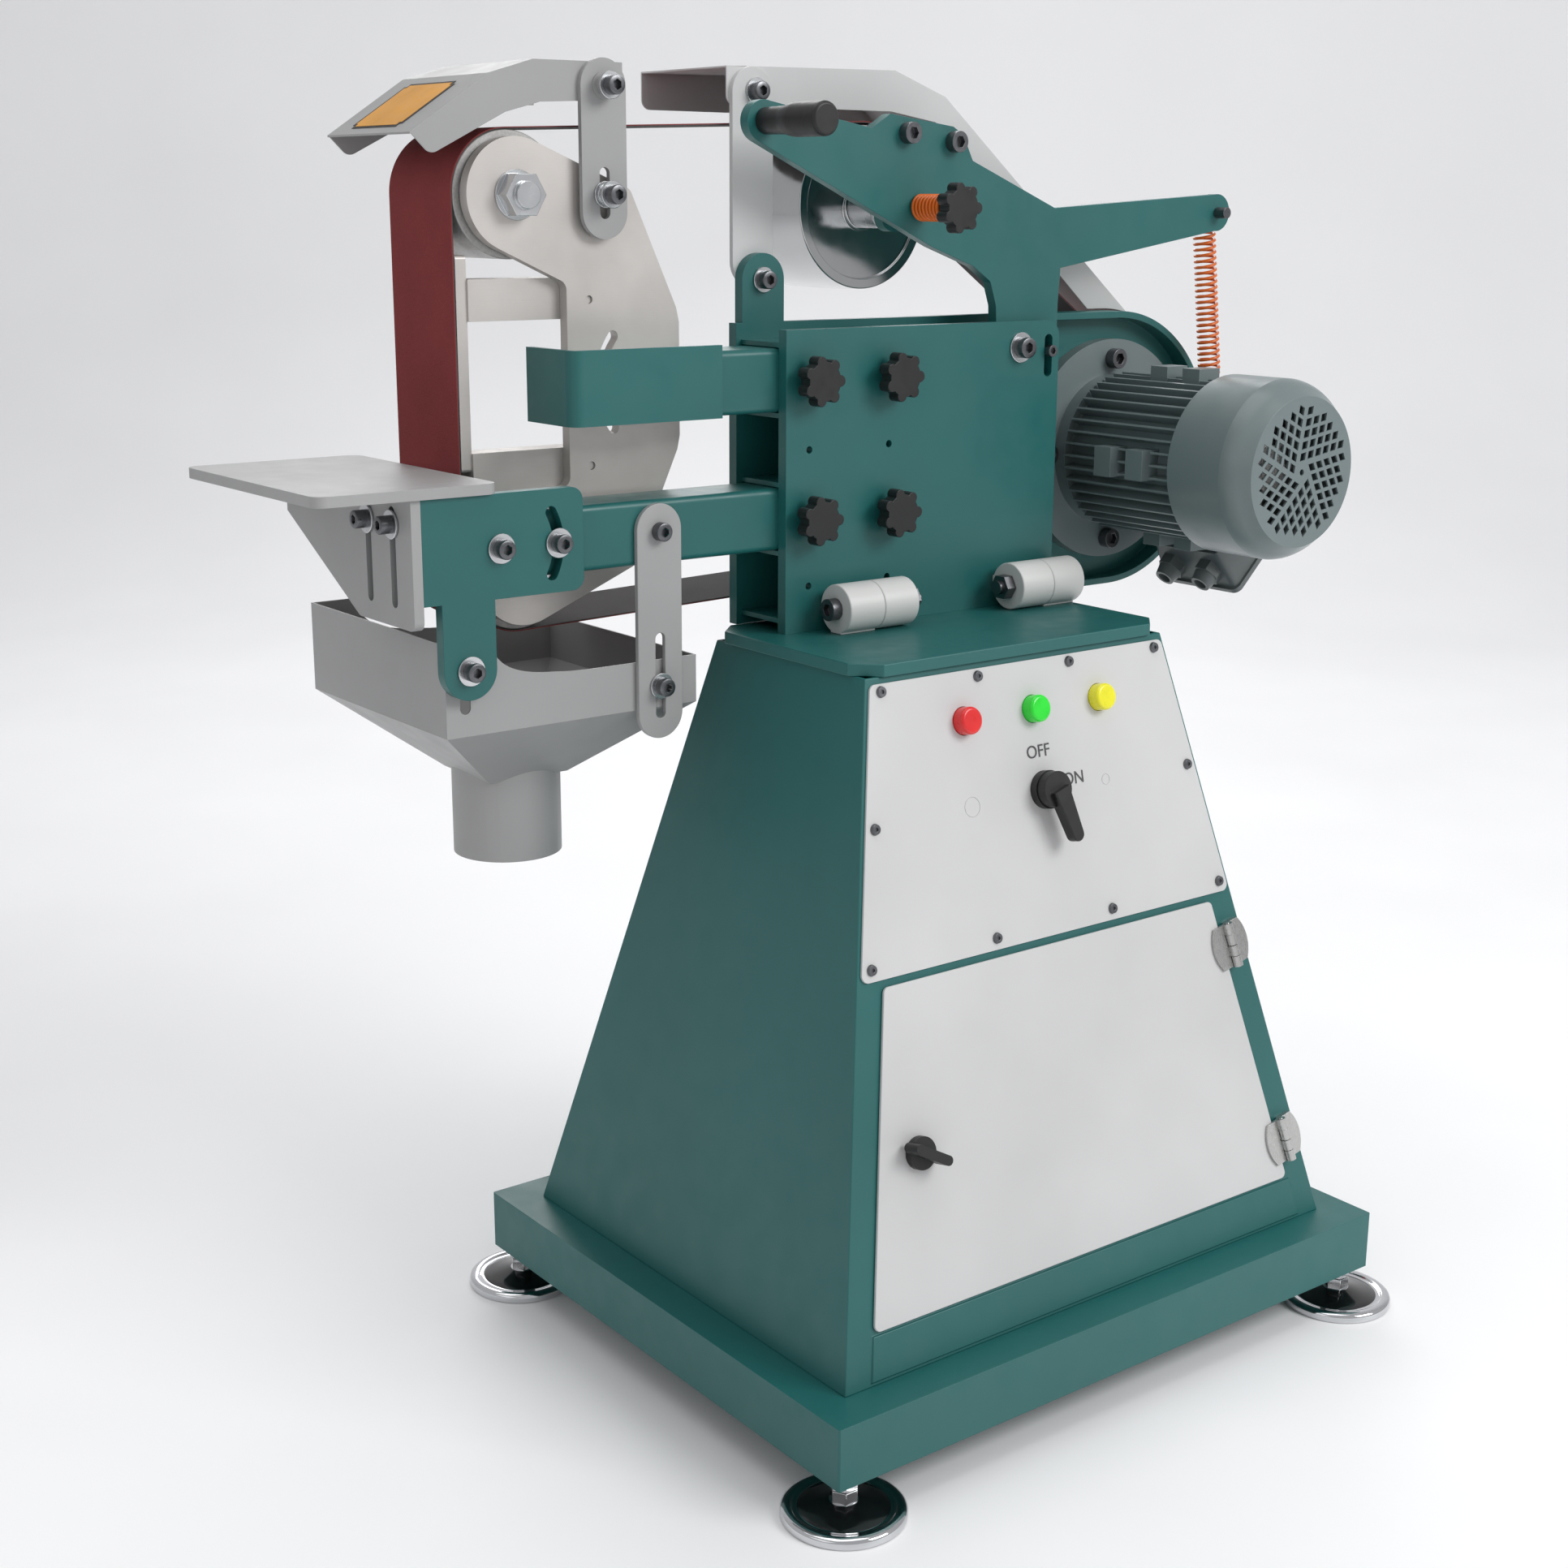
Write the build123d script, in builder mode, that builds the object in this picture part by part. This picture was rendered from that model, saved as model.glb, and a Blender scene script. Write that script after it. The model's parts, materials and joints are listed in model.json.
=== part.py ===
from build123d import *
from math import acos, atan, atan2, cos, degrees, radians, sin
import os

# Pedestal belt grinder, in millimetres. The origin is on the floor under the middle of the plinth,
# +Z is up, +X points to the motor and -Y is the operator's side with the control panel.

# --- stand
plinth_x, plinth_y = 600, 500
plinth_bottom, plinth_top = 33, 84
plinth_sheet = 4
foot_x, foot_y = 281, 232.5
foot_disc_r = 48
stud_r = 6
gusset = 62
gusset_t = 6
cabinet_bottom_x, cabinet_bottom_y = 536, 433
cabinet_top_x, cabinet_top_y = 320, 193
cabinet_top = 597
cabinet_sheet = 3
base_x, base_y = 328, 200
base_top = 607
base_corner = 20

# --- front of the cabinet: a sloping face, with its own plane
front_rise = cabinet_top - plinth_top
front_lean = atan((cabinet_bottom_y - cabinet_top_y) / 2 / front_rise)
side_slope = (cabinet_bottom_x - cabinet_top_x) / 2 / front_rise
panel_z = (376, 592)
panel_margin = 3.5
panel_t = 2
door_z = (122.5, 370)
door_margin_latch, door_margin_hinge = 25, 29
door_t = 2.5
door_gap = 0.4
hinge_margin = 21.5
hinge_lift = 7.2
hinge_z = (331, 156)
hinge_len = 39
knuckle_r = 4.2
hinge_pin_r = 2
button_z, button_pitch, button_mid_x = 554, 73.5, 4
button_r = 11
selector_x, selector_z = 6, 490
latch_x, latch_z = -171, 243

# --- tilting head
plate_t = 10
near_y = 38.9
slot_y0, slot_y1 = near_y + plate_t, 99.1
far_y = slot_y1 + plate_t
head_left, head_right, head_top = -133, 162, 849
web_t, web_pitch, web_first = 4, 55, 615
web_right = 85
tilt_y, tilt_z = near_y - 20.4, base_top + 20.4
barrel_r, barrel_half = 20, 35.8
barrel_left_ends = (-97, 92)
tilt_bolt_r = 6
knob_x = (-109.5, -27)
lug_x, lug_z, lug_r = -111, 885.5, 21

# --- tool arms, 50 mm square tube
tube = 50
tube_wall = 4
arm_y = (slot_y0 + slot_y1) / 2
upper_z = web_first + web_t + 3 * web_pitch + (web_pitch - web_t) / 2
lower_z = web_first + web_t + web_pitch + (web_pitch - web_t) / 2

# --- motor, a flange motor with a 200 mm flange and a 165 mm bolt circle
motor_x, motor_z = 287, 726
flange_r, flange_t, flange_pcd = 100, 12, 165
motor_plate_t = 8
rim_r, rim_t, rim_depth = 125, 6, 18
frame_r, fin_r = 60, 71
cover_r, cover_y0, cover_bend_y, cover_end_y, cover_end_r = 77.2, -49, -107, -131.5, 64

# --- wheels and belt
wheel_y0, wheel_y1 = 122, 217
contact_x, contact_r = -332, 47
contact_top_z, contact_bottom_z = upper_z + 141, upper_z - 141
track_x, track_z, track_r = 10, 942, 67.5
drive_r = 87.5
belt_t, belt_gap = 1.5, 0.3
belt_y0, belt_y1 = 121.5, 217.5
axle_r = 10
axle_washer_t = 2

# --- platen
platen_y0, platen_y1 = far_y + 0.3, far_y + 10.3
platen_pivot_x = -204
platen_slot_r = 57

# --- tension lever
lever_y0, lever_y1 = slot_y0 + 0.4, slot_y0 + 10.4
hinge_screws = ((-4.5, 1000), (45, 994))
pivot_x, pivot_z = 117.3, 827.2
limit_x, limit_z = 149.8, 823.4
spring_pin_x, spring_pin_z = 365, 938
post_x, post_z = 386, 777
spring_y = 66

# --- work rest
rest_y0, rest_y1 = near_y, slot_y0
rest_pivot_x, rest_arc_r = -394, 49
table_x0, table_x1, table_y0, table_y1 = -541, -396, 35, 260
table_top, table_t = 749, 8
rest_face_x = -458.5
table_screws = ((68, 721), (106, 721))

# --- hopper
hopper_x0, hopper_x1 = -438, -214
hopper_y0, hopper_y1 = slot_y0 + 0.4, 270
hopper_high, hopper_low, hopper_fold, hopper_neck, hopper_end = 632, 599, 561, 500, 433
hopper_sheet = 1.5
outlet_r = 44
strap_x = -251
strap_t = 4.5
strap_y0 = platen_y0 - 9.5


def across(y):
    """Plane at a given y, drawn in (x, z); a positive extrusion goes towards the operator."""
    return Plane(origin=(0, y, 0), x_dir=(1, 0, 0), z_dir=(0, -1, 0))


def facing_x(x):
    """Plane at a given x, drawn in (y, z); a positive extrusion goes towards +X."""
    return Plane(origin=(x, 0, 0), x_dir=(0, 1, 0), z_dir=(1, 0, 0))


def front_plane(x, z, lift=0.0):
    """Plane on the cabinet's sloping front at height z, its normal pointing out."""
    y = -cabinet_bottom_y / 2 + (z - plinth_top) * (cabinet_bottom_y - cabinet_top_y) / 2 / front_rise
    normal = Vector(0, -cos(front_lean), sin(front_lean))
    return Plane(origin=Vector(x, y, z) + normal * lift, x_dir=(1, 0, 0), z_dir=normal)


def half_width(z):
    """Half of the cabinet's width at height z."""
    return cabinet_bottom_x / 2 - (z - plinth_top) * side_slope


def front_outline(z0, z1, left, right):
    """Corner points of a sheet on the sloping front, local to front_plane(0, z0)."""
    rise = (z1 - z0) / cos(front_lean)
    return [
        (-half_width(z0) + left, 0),
        (half_width(z0) - right, 0),
        (half_width(z1) - right, rise),
        (-half_width(z1) + left, rise),
    ]


def plate(y0, y1):
    """Extrude the pending sketch, drawn on across(y1), to y0."""
    extrude(amount=y1 - y0)


def disc(seat, r, amount, mode=Mode.ADD):
    """A round bar standing on the plane called seat."""
    with BuildSketch(seat) as profile:
        Circle(r)
    extrude(profile.sketch, amount=amount, mode=mode)


def arc_slot(x, z, radius, middle, sweep, width):
    """Cut an arc slot, centred on the angle called middle, out of the sketch that is open."""
    with BuildLine() as centre_line:
        CenterArc((x, z), radius, middle - sweep / 2, sweep)
    SlotArc(centre_line.edge(), width, mode=Mode.SUBTRACT)


def rod(x, z, y0, y1, r, mode=Mode.ADD):
    """A round bar along Y."""
    disc(Plane(origin=(x, y1, z), x_dir=(1, 0, 0), z_dir=(0, -1, 0)), r, y1 - y0, mode)


def cap_screw(seat, head_r, head_h, shank_r, shank_len):
    """Socket head cap screw: seat's normal points away from the clamped face."""
    disc(seat, head_r, head_h)
    with BuildSketch(seat.offset(head_h)) as socket:
        RegularPolygon(head_r * 0.58, 6)
    extrude(socket.sketch, amount=-head_h * 0.55, mode=Mode.SUBTRACT)
    disc(seat, shank_r, -shank_len)


def front_screw(x, z, seat_y, head_r=7, head_h=8, shank_r=4, shank_len=12, washer_r=0):
    """Cap screw along Y whose head faces the operator, with an optional washer under it."""
    washer_t = 1.6 if washer_r else 0
    seat = Plane(origin=(x, seat_y - washer_t, z), x_dir=(1, 0, 0), z_dir=(0, -1, 0))
    if washer_r:
        rod(x, z, seat_y - washer_t, seat_y, washer_r)
    cap_screw(seat, head_r, head_h, shank_r, shank_len + washer_t)


def hex_nut(seat, across_flats, thickness, bore_r):
    """Hexagon nut standing on seat."""
    with BuildSketch(seat) as profile:
        RegularPolygon(across_flats / 3**0.5, 6)
        Circle(bore_r, mode=Mode.SUBTRACT)
    extrude(profile.sketch, amount=thickness)


def save(builder, name):
    """Label a finished piece and write its STEP file."""
    builder.part.label = name
    export_step(builder.part, f"parts/{name}.step")


os.makedirs("parts", exist_ok=True)

# ---------------------------------------------------------------- stand

with BuildPart() as plinth:
    with BuildSketch(Plane.XY.offset(plinth_bottom)):
        Rectangle(plinth_x, plinth_y)
    extrude(amount=plinth_top - plinth_bottom)
    with BuildSketch(Plane.XY.offset(plinth_bottom)):
        Rectangle(plinth_x - 2 * plinth_sheet, plinth_y - 2 * plinth_sheet)
    extrude(amount=plinth_top - plinth_bottom - plinth_sheet, mode=Mode.SUBTRACT)
    inner_x = plinth_x / 2 - plinth_sheet - gusset / 2
    inner_y = plinth_y / 2 - plinth_sheet - gusset / 2
    with BuildSketch(Plane.XY.offset(plinth_bottom)):
        with GridLocations(2 * inner_x, 2 * inner_y, 2, 2):
            Rectangle(gusset, gusset)
    extrude(amount=gusset_t)
    with BuildSketch(Plane.XY.offset(plinth_bottom)):
        with GridLocations(2 * foot_x, 2 * foot_y, 2, 2):
            Circle(stud_r + 0.05)
    extrude(amount=gusset_t, mode=Mode.SUBTRACT)
    chamfer(plinth.edges().filter_by(Axis.Z).group_by(SortBy.LENGTH)[-1], 1.2)
save(plinth, "plinth")


def levelling_foot(x, y, name):
    """Chromed foot disc with its threaded stud, a fixed nut and a locknut."""
    with BuildPart() as foot:
        with BuildSketch(Plane(origin=(x, y, 0), x_dir=(1, 0, 0), z_dir=(0, -1, 0))):
            with BuildLine():
                Polyline((0, 0), (foot_disc_r - 1, 0), (foot_disc_r, 1.5), (foot_disc_r, 5))
                ThreePointArc((foot_disc_r, 5), (foot_disc_r - 3, 7.6), (foot_disc_r - 8, 8))
                Polyline((foot_disc_r - 8, 8), (foot_disc_r - 10, 6.6), (foot_disc_r - 13, 6.6))
                ThreePointArc((foot_disc_r - 13, 6.6), (22, 9.5), (stud_r + 5, 12.5))
                Polyline((stud_r + 5, 12.5), (stud_r, 13), (stud_r, 66), (0, 66), (0, 0))
            make_face()
        revolve(axis=Axis((x, y, 0), (0, 0, 1)))
        for z in (13, 23.2):
            hex_nut(Plane(origin=(x, y, z), z_dir=(0, 0, 1)), 19, 9.6, stud_r - 0.5)
    save(foot, name)


levelling_foot(-foot_x, -foot_y, "foot_front_left")
levelling_foot(foot_x, -foot_y, "foot_front_right")
levelling_foot(-foot_x, foot_y, "foot_rear_left")
levelling_foot(foot_x, foot_y, "foot_rear_right")

# The cabinet is a folded pyramid with a door opening and a switch opening in its front.
with BuildPart() as cabinet_shell:
    for inset in (0, cabinet_sheet):
        with BuildSketch(Plane.XY.offset(plinth_top)):
            Rectangle(cabinet_bottom_x - 2 * inset, cabinet_bottom_y - 2 * inset)
        with BuildSketch(Plane.XY.offset(cabinet_top)):
            Rectangle(cabinet_top_x - 2 * inset, cabinet_top_y - 2 * inset)
        loft(mode=Mode.SUBTRACT if inset else Mode.ADD)
    for z0, z1, border in ((door_z[0], door_z[1], 40), (panel_z[0], panel_z[1], 26)):
        with BuildSketch(front_plane(0, z0 + border / 2, 1)):
            Polygon(*front_outline(z0 + border / 2, z1 - border / 2, border, border), align=None)
        extrude(amount=-cabinet_sheet * 3, mode=Mode.SUBTRACT)
    # sill sheet under the door, standing a little proud
    with BuildSketch(front_plane(0, plinth_top + 3, 0)):
        Polygon(*front_outline(plinth_top + 3, door_z[0] - 2.5, 25, 25), align=None)
    extrude(amount=1.5)
save(cabinet_shell, "cabinet_shell")

with BuildPart() as base_plate:
    with BuildSketch(Plane.XY.offset(cabinet_top)):
        Rectangle(base_x, base_y)
        chamfer(vertices(), base_corner)
    extrude(amount=base_top - cabinet_top)
save(base_plate, "base_plate")

# ---------------------------------------------------------------- control panel

button_xs = [button_mid_x + i * button_pitch for i in (-1, 0, 1)]

with BuildPart() as control_panel:
    with BuildSketch(front_plane(0, panel_z[0], 0)):
        Polygon(*front_outline(panel_z[0], panel_z[1], panel_margin, panel_margin), align=None)
        fillet(vertices(), 6)
    extrude(amount=panel_t)
    for x in button_xs:
        with BuildSketch(front_plane(x, button_z, panel_t)):
            Circle(button_r + 0.4)
        extrude(amount=-2 * panel_t, mode=Mode.SUBTRACT)
    with BuildSketch(front_plane(selector_x, selector_z, panel_t)):
        Circle(6.4)
    extrude(amount=-2 * panel_t, mode=Mode.SUBTRACT)
    for x, z, r in ((-72, 488, 8), (74.5, 488, 4.5)):
        with BuildSketch(front_plane(x, z, panel_t)):
            Circle(r)
            Circle(r - 0.4, mode=Mode.SUBTRACT)
        extrude(amount=-0.4, mode=Mode.SUBTRACT)
save(control_panel, "control_panel")

panel_screw_spots = [(s * x, z) for x, z in ((148, 586), (49.5, 586), (171, 486.5)) for s in (-1, 1)]
panel_screw_spots += [(s * x, 385) for x in (192, 64) for s in (-1, 1)]

# Panel screws, and the two tilt-hinge bolts with their nuts.
with BuildPart() as cabinet_screws:
    for x, z in panel_screw_spots:
        seat = front_plane(x, z, panel_t)
        with BuildSketch(seat):
            Circle(4.6)
        extrude(amount=2.4, taper=18)
        with BuildSketch(seat.offset(2.4)):
            RegularPolygon(1.7, 6)
        extrude(amount=-1.4, mode=Mode.SUBTRACT)
    for x, toward in zip(barrel_left_ends, (1, -1)):
        length = 2 * barrel_half + 0.8
        start = x - 0.2 if toward == 1 else x + length - 0.2
        seat = Plane(origin=(start, tilt_y, tilt_z), x_dir=(0, 1, 0), z_dir=(-toward, 0, 0))
        cap_screw(seat, 9, 9, tilt_bolt_r, length + 14)
        hex_nut(seat.offset(-length - 10), 19, 9.6, tilt_bolt_r - 0.5)
save(cabinet_screws, "cabinet_screws")


def push_button(x, name):
    """Button cap that slides through the panel."""
    with BuildPart() as button:
        with BuildSketch(front_plane(x, button_z, -5)):
            Circle(button_r)
        extrude(amount=panel_t + 16)
        fillet(button.faces().sort_by(Axis.Y)[0].edges(), 3)
    save(button, name)


for x, name in zip(button_xs, ("red_button", "green_button", "yellow_button")):
    push_button(x, name)

# Contact blocks behind the three buttons, and the selector's body through the panel.
with BuildPart() as switch_bodies:
    for x in button_xs:
        with BuildSketch(front_plane(x, button_z, -0.2)):
            Circle(15)
            Circle(button_r + 0.3, mode=Mode.SUBTRACT)
        extrude(amount=-10)
        with BuildSketch(front_plane(x, button_z, -10.2)):
            RectangleRounded(30, 30, 3)
        extrude(amount=-34)
    with BuildSketch(front_plane(selector_x, selector_z, panel_t + 0.1)):
        Circle(15.5)
    extrude(amount=7)
    with BuildSketch(front_plane(selector_x, selector_z, panel_t + 0.1)):
        Circle(6)
    extrude(amount=-panel_t - 8)
    with BuildSketch(front_plane(selector_x, selector_z, -8)):
        RectangleRounded(44, 44, 4)
    extrude(amount=-40)
save(switch_bodies, "switch_bodies")

with BuildPart() as selector_lever:
    hub = front_plane(selector_x, selector_z, panel_t + 7.4)
    with BuildSketch(hub):
        Circle(14.5)
    extrude(amount=9)
    with BuildSketch(hub.offset(4)):
        with Locations(Location((0, 0, 0), (0, 0, -73))):
            Polygon((0, 8.5), (0, -8.5), (40, -6), (40, 6), align=None)
            with Locations((40, 0)):
                Circle(6)
    extrude(amount=10)
    fillet(selector_lever.faces().sort_by(Axis.Y)[0].edges(), 1.5)
save(selector_lever, "selector_lever")

# ---------------------------------------------------------------- door

hinge_dir = Vector(-side_slope, (cabinet_bottom_y - cabinet_top_y) / 2 / front_rise, 1).normalized()


def hinge_point(z, lift):
    """Point on the door's hinge line at height z."""
    return front_plane(half_width(z) - hinge_margin, z, lift).origin


def hinge_leaf_plane(z, lift):
    """Plane of a hinge leaf: y runs along the hinge line, the normal points out."""
    normal = front_plane(0, z).z_dir
    return Plane(origin=hinge_point(z, lift), x_dir=hinge_dir.cross(normal), z_dir=normal)


def knuckle(z, start, length):
    """One knuckle of a hinge barrel, start being measured along the hinge line."""
    foot = hinge_point(z, hinge_lift) + hinge_dir * start
    disc(Plane(origin=foot, z_dir=hinge_dir), knuckle_r, length)


def leaf(z, side, bottom, thickness):
    """Leaf of a door hinge on one side of its barrel, with a rounded outer end."""
    width = 21
    half = hinge_len / 2 - 0.5
    with BuildSketch(hinge_leaf_plane(z, bottom)) as profile:
        with BuildLine():
            Polyline((side * 0.5, -half), (side * 15, -half))
            ThreePointArc((side * 15, -half), (side * width, 0), (side * 15, half))
            Polyline((side * 15, half), (side * 0.5, half), (side * 0.5, -half))
        make_face()
    extrude(profile.sketch, amount=thickness)


knuckle_len = hinge_len / 4

with BuildPart() as door_hinge_frames:
    for z in hinge_z:
        leaf(z, 1, 0, 5.2)
        for i in (0, 2):
            foot = hinge_point(z, hinge_lift) + hinge_dir * (-hinge_len / 2 + i * knuckle_len)
            with BuildSketch(Plane(origin=foot - hinge_dir * 0.3 if i == 0 else foot, z_dir=hinge_dir)):
                Circle(knuckle_r)
            extrude(amount=knuckle_len - 0.15)
        # room for the door's knuckles, then the pin through all four
        for i in (1, 3):
            foot = hinge_point(z, hinge_lift) + hinge_dir * (-hinge_len / 2 + i * knuckle_len - 0.15)
            with BuildSketch(Plane(origin=foot, z_dir=hinge_dir)):
                Circle(knuckle_r + 0.35)
            extrude(amount=knuckle_len + 0.3, mode=Mode.SUBTRACT)
        pin_foot = hinge_point(z, hinge_lift) - hinge_dir * hinge_len / 2
        with BuildSketch(Plane(origin=pin_foot, z_dir=hinge_dir)):
            Circle(hinge_pin_r)
        extrude(amount=hinge_len + 0.6)
save(door_hinge_frames, "door_hinge_frames")

with BuildPart() as door_hinge_leaves:
    for z in hinge_z:
        leaf(z, -1, door_gap + door_t, 2.4)
        for i in (1, 3):
            knuckle(z, -hinge_len / 2 + i * knuckle_len, knuckle_len - 0.15)
        for i in (0, 2):
            foot = hinge_point(z, hinge_lift) + hinge_dir * (-hinge_len / 2 + i * knuckle_len - 0.6)
            with BuildSketch(Plane(origin=foot, z_dir=hinge_dir)):
                Circle(knuckle_r + 0.35)
            extrude(amount=knuckle_len + 0.6, mode=Mode.SUBTRACT)
        foot = hinge_point(z, hinge_lift) - hinge_dir * (hinge_len / 2 + 1)
        with BuildSketch(Plane(origin=foot, z_dir=hinge_dir)):
            Circle(hinge_pin_r + 0.06)
        extrude(amount=hinge_len + 2, mode=Mode.SUBTRACT)
save(door_hinge_leaves, "door_hinge_leaves")

with BuildPart() as door_panel:
    with BuildSketch(front_plane(0, door_z[0], door_gap)):
        Polygon(*front_outline(door_z[0], door_z[1], door_margin_latch, door_margin_hinge), align=None)
        fillet(vertices(), 5)
    extrude(amount=door_t)
    with BuildSketch(front_plane(latch_x, latch_z, door_gap)):
        Circle(8.2)
    extrude(amount=door_t, mode=Mode.SUBTRACT)
save(door_panel, "door_panel")

# Wing latch: a barrel through the door, a wing outside and a cam tongue behind the frame's edge.
with BuildPart() as door_latch:
    with BuildSketch(front_plane(latch_x, latch_z, door_gap + door_t + 0.3)):
        Circle(13)
    extrude(amount=6)
    with BuildSketch(front_plane(latch_x, latch_z, door_gap + door_t + 0.3)):
        Circle(8)
    extrude(amount=-16)
    with BuildSketch(front_plane(latch_x, latch_z, door_gap + door_t + 5)):
        SlotOverall(38, 8, rotation=-30)
    extrude(amount=15)
    with BuildSketch(front_plane(latch_x, latch_z, -9)):
        with Locations((-13, 0)):
            Rectangle(30, 12)
    extrude(amount=-3)
save(door_latch, "door_latch")

# ---------------------------------------------------------------- head frame

with BuildPart() as near_plate:
    with BuildSketch(across(slot_y0)):
        with BuildLine():
            Polyline(
                (head_left, base_top), (head_right, base_top), (head_right, head_top - 14),
            )
            ThreePointArc(
                (head_right, head_top - 14), (head_right - 4.1, head_top - 4.1), (head_right - 14, head_top)
            )
            Polyline((head_right - 14, head_top), (head_left, head_top), (head_left, base_top))
        make_face()
        for x in knob_x:
            with Locations((x, upper_z), (x, lower_z)):
                Circle(5.05, mode=Mode.SUBTRACT)
            with Locations((x, upper_z - web_pitch), (x, lower_z - web_pitch)):
                Circle(3, mode=Mode.SUBTRACT)
        with Locations((pivot_x, pivot_z)):
            Circle(6.3, mode=Mode.SUBTRACT)
        with Locations((limit_x, limit_z - 4)):
            SlotOverall(36, 9, rotation=90, mode=Mode.SUBTRACT)
    plate(near_y, slot_y0)
save(near_plate, "near_plate")

with BuildPart() as far_plate:
    with BuildSketch(across(far_y)):
        with Locations(((head_left - 5 + head_right) / 2, (base_top + head_top + 3) / 2)):
            Rectangle(head_right - head_left + 5, head_top + 3 - base_top)
        with Locations((lug_x, (head_top + lug_z) / 2)):
            Rectangle(2 * lug_r, lug_z - head_top)
        with Locations((lug_x, lug_z)):
            Circle(lug_r)
        with Locations((pivot_x, pivot_z)):
            Circle(6.3, mode=Mode.SUBTRACT)
        with Locations((lug_x, lug_z)):
            Circle(4.3, mode=Mode.SUBTRACT)
    plate(slot_y1, far_y)
save(far_plate, "far_plate")

with BuildPart() as slot_webs:
    for i in range(5):
        z = web_first + i * web_pitch + web_t / 2
        with BuildSketch(across(slot_y1)):
            with Locations(((head_left + web_right) / 2, z)):
                Rectangle(web_right - head_left, web_t)
        plate(slot_y0, slot_y1)
save(slot_webs, "slot_webs")


def half_barrel(x0, on_head):
    """Half of a tilt-hinge barrel with its weld foot, bored for the bolt."""
    weld_foot = (barrel_r - 1, 0) if on_head else (0, 1 - barrel_r)
    foot_size = (2.8, 14) if on_head else (14, 2.8)
    with BuildSketch(facing_x(x0)) as profile:
        with Locations((tilt_y, tilt_z)):
            Circle(barrel_r)
            with Locations(weld_foot):
                Rectangle(*foot_size)
            Circle(tilt_bolt_r + 0.08, mode=Mode.SUBTRACT)
    extrude(profile.sketch, amount=barrel_half)


with BuildPart() as base_barrels:
    half_barrel(barrel_left_ends[0], False)
    half_barrel(barrel_left_ends[1] + barrel_half + 0.4, False)
save(base_barrels, "base_barrels")

with BuildPart() as head_barrels:
    half_barrel(barrel_left_ends[0] + barrel_half + 0.4, True)
    half_barrel(barrel_left_ends[1], True)
save(head_barrels, "head_barrels")

# Motor plate behind the far plate, with a rim towards the operator around the motor's flange.
plate_y1 = far_y + motor_plate_t
flange_bolts = [
    (motor_x + flange_pcd / 2 * cos(radians(a)), motor_z + flange_pcd / 2 * sin(radians(a)))
    for a in (0, 90, 180, 270)
]

with BuildPart() as motor_plate:
    with BuildSketch(across(plate_y1)):
        with Locations((motor_x, motor_z)):
            Circle(rim_r)
            Circle(64, mode=Mode.SUBTRACT)
        with Locations(((110 + motor_x) / 2, motor_z)):
            Rectangle(motor_x - 110, 2 * rim_r)
        with Locations((motor_x, motor_z)):
            Circle(64, mode=Mode.SUBTRACT)
        with Locations(*flange_bolts):
            Circle(5.2, mode=Mode.SUBTRACT)
    plate(far_y, plate_y1)
    with BuildSketch(across(far_y)):
        with Locations((motor_x, motor_z)):
            Circle(rim_r)
            Circle(rim_r - rim_t, mode=Mode.SUBTRACT)
            with Locations((-rim_r, 0)):
                Rectangle(2 * rim_r, 3 * rim_r, mode=Mode.SUBTRACT)
        for side in (-1, 1):
            with Locations(((168 + motor_x) / 2, motor_z + side * (rim_r - rim_t / 2))):
                Rectangle(motor_x - 168, rim_t)
    extrude(amount=rim_depth)
save(motor_plate, "motor_plate")

# ---------------------------------------------------------------- motor

flange_y = far_y - flange_t


def around_motor(y):
    """Plane at a given y centred on the motor's axis."""
    return Plane(origin=(motor_x, y, motor_z), x_dir=(1, 0, 0), z_dir=(0, -1, 0))


with BuildPart() as motor_frame:
    with BuildSketch(around_motor(far_y)):
        Circle(flange_r)
        Circle(27, mode=Mode.SUBTRACT)
        with PolarLocations(flange_pcd / 2, 4):
            Circle(5.2, mode=Mode.SUBTRACT)
    extrude(amount=flange_t)
    with BuildSketch(around_motor(flange_y)):
        Circle(69)
        Circle(27, mode=Mode.SUBTRACT)
    extrude(amount=12, taper=4)
    with BuildSketch(around_motor(flange_y - 11)):
        Circle(frame_r)
        Circle(frame_r - 6, mode=Mode.SUBTRACT)
    extrude(amount=flange_y - 11 + 52)
    with BuildSketch(around_motor(flange_y - 14)):
        with PolarLocations((frame_r + fin_r) / 2 - 1, 40):
            Rectangle(fin_r - frame_r + 2, 2)
    extrude(amount=flange_y - 14 + 46)
    # cast pads on the side, the top and the underside
    for turn in (180, 90, 270):
        for y in (36, -2):
            with BuildSketch(around_motor(y)):
                with Locations(Location((0, 0, 0), (0, 0, turn))):
                    with Locations((fin_r - 4, 0)):
                        Rectangle(26, 26)
            extrude(amount=20)
    # seat of the terminal box
    with BuildSketch(around_motor(47)):
        with Locations(Location((0, 0, 0), (0, 0, -45))):
            with Locations((69, 0)):
                Rectangle(14, 60)
    extrude(amount=60)
    # rear bearing bridge
    with BuildSketch(around_motor(-46)):
        Circle(frame_r - 3)
        Circle(16.1, mode=Mode.SUBTRACT)
    extrude(amount=6)
    # front bearing collar
    with BuildSketch(around_motor(flange_y - 2)):
        Circle(frame_r - 4)
        Circle(16.1, mode=Mode.SUBTRACT)
    extrude(amount=6)
save(motor_frame, "motor_frame")


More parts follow.
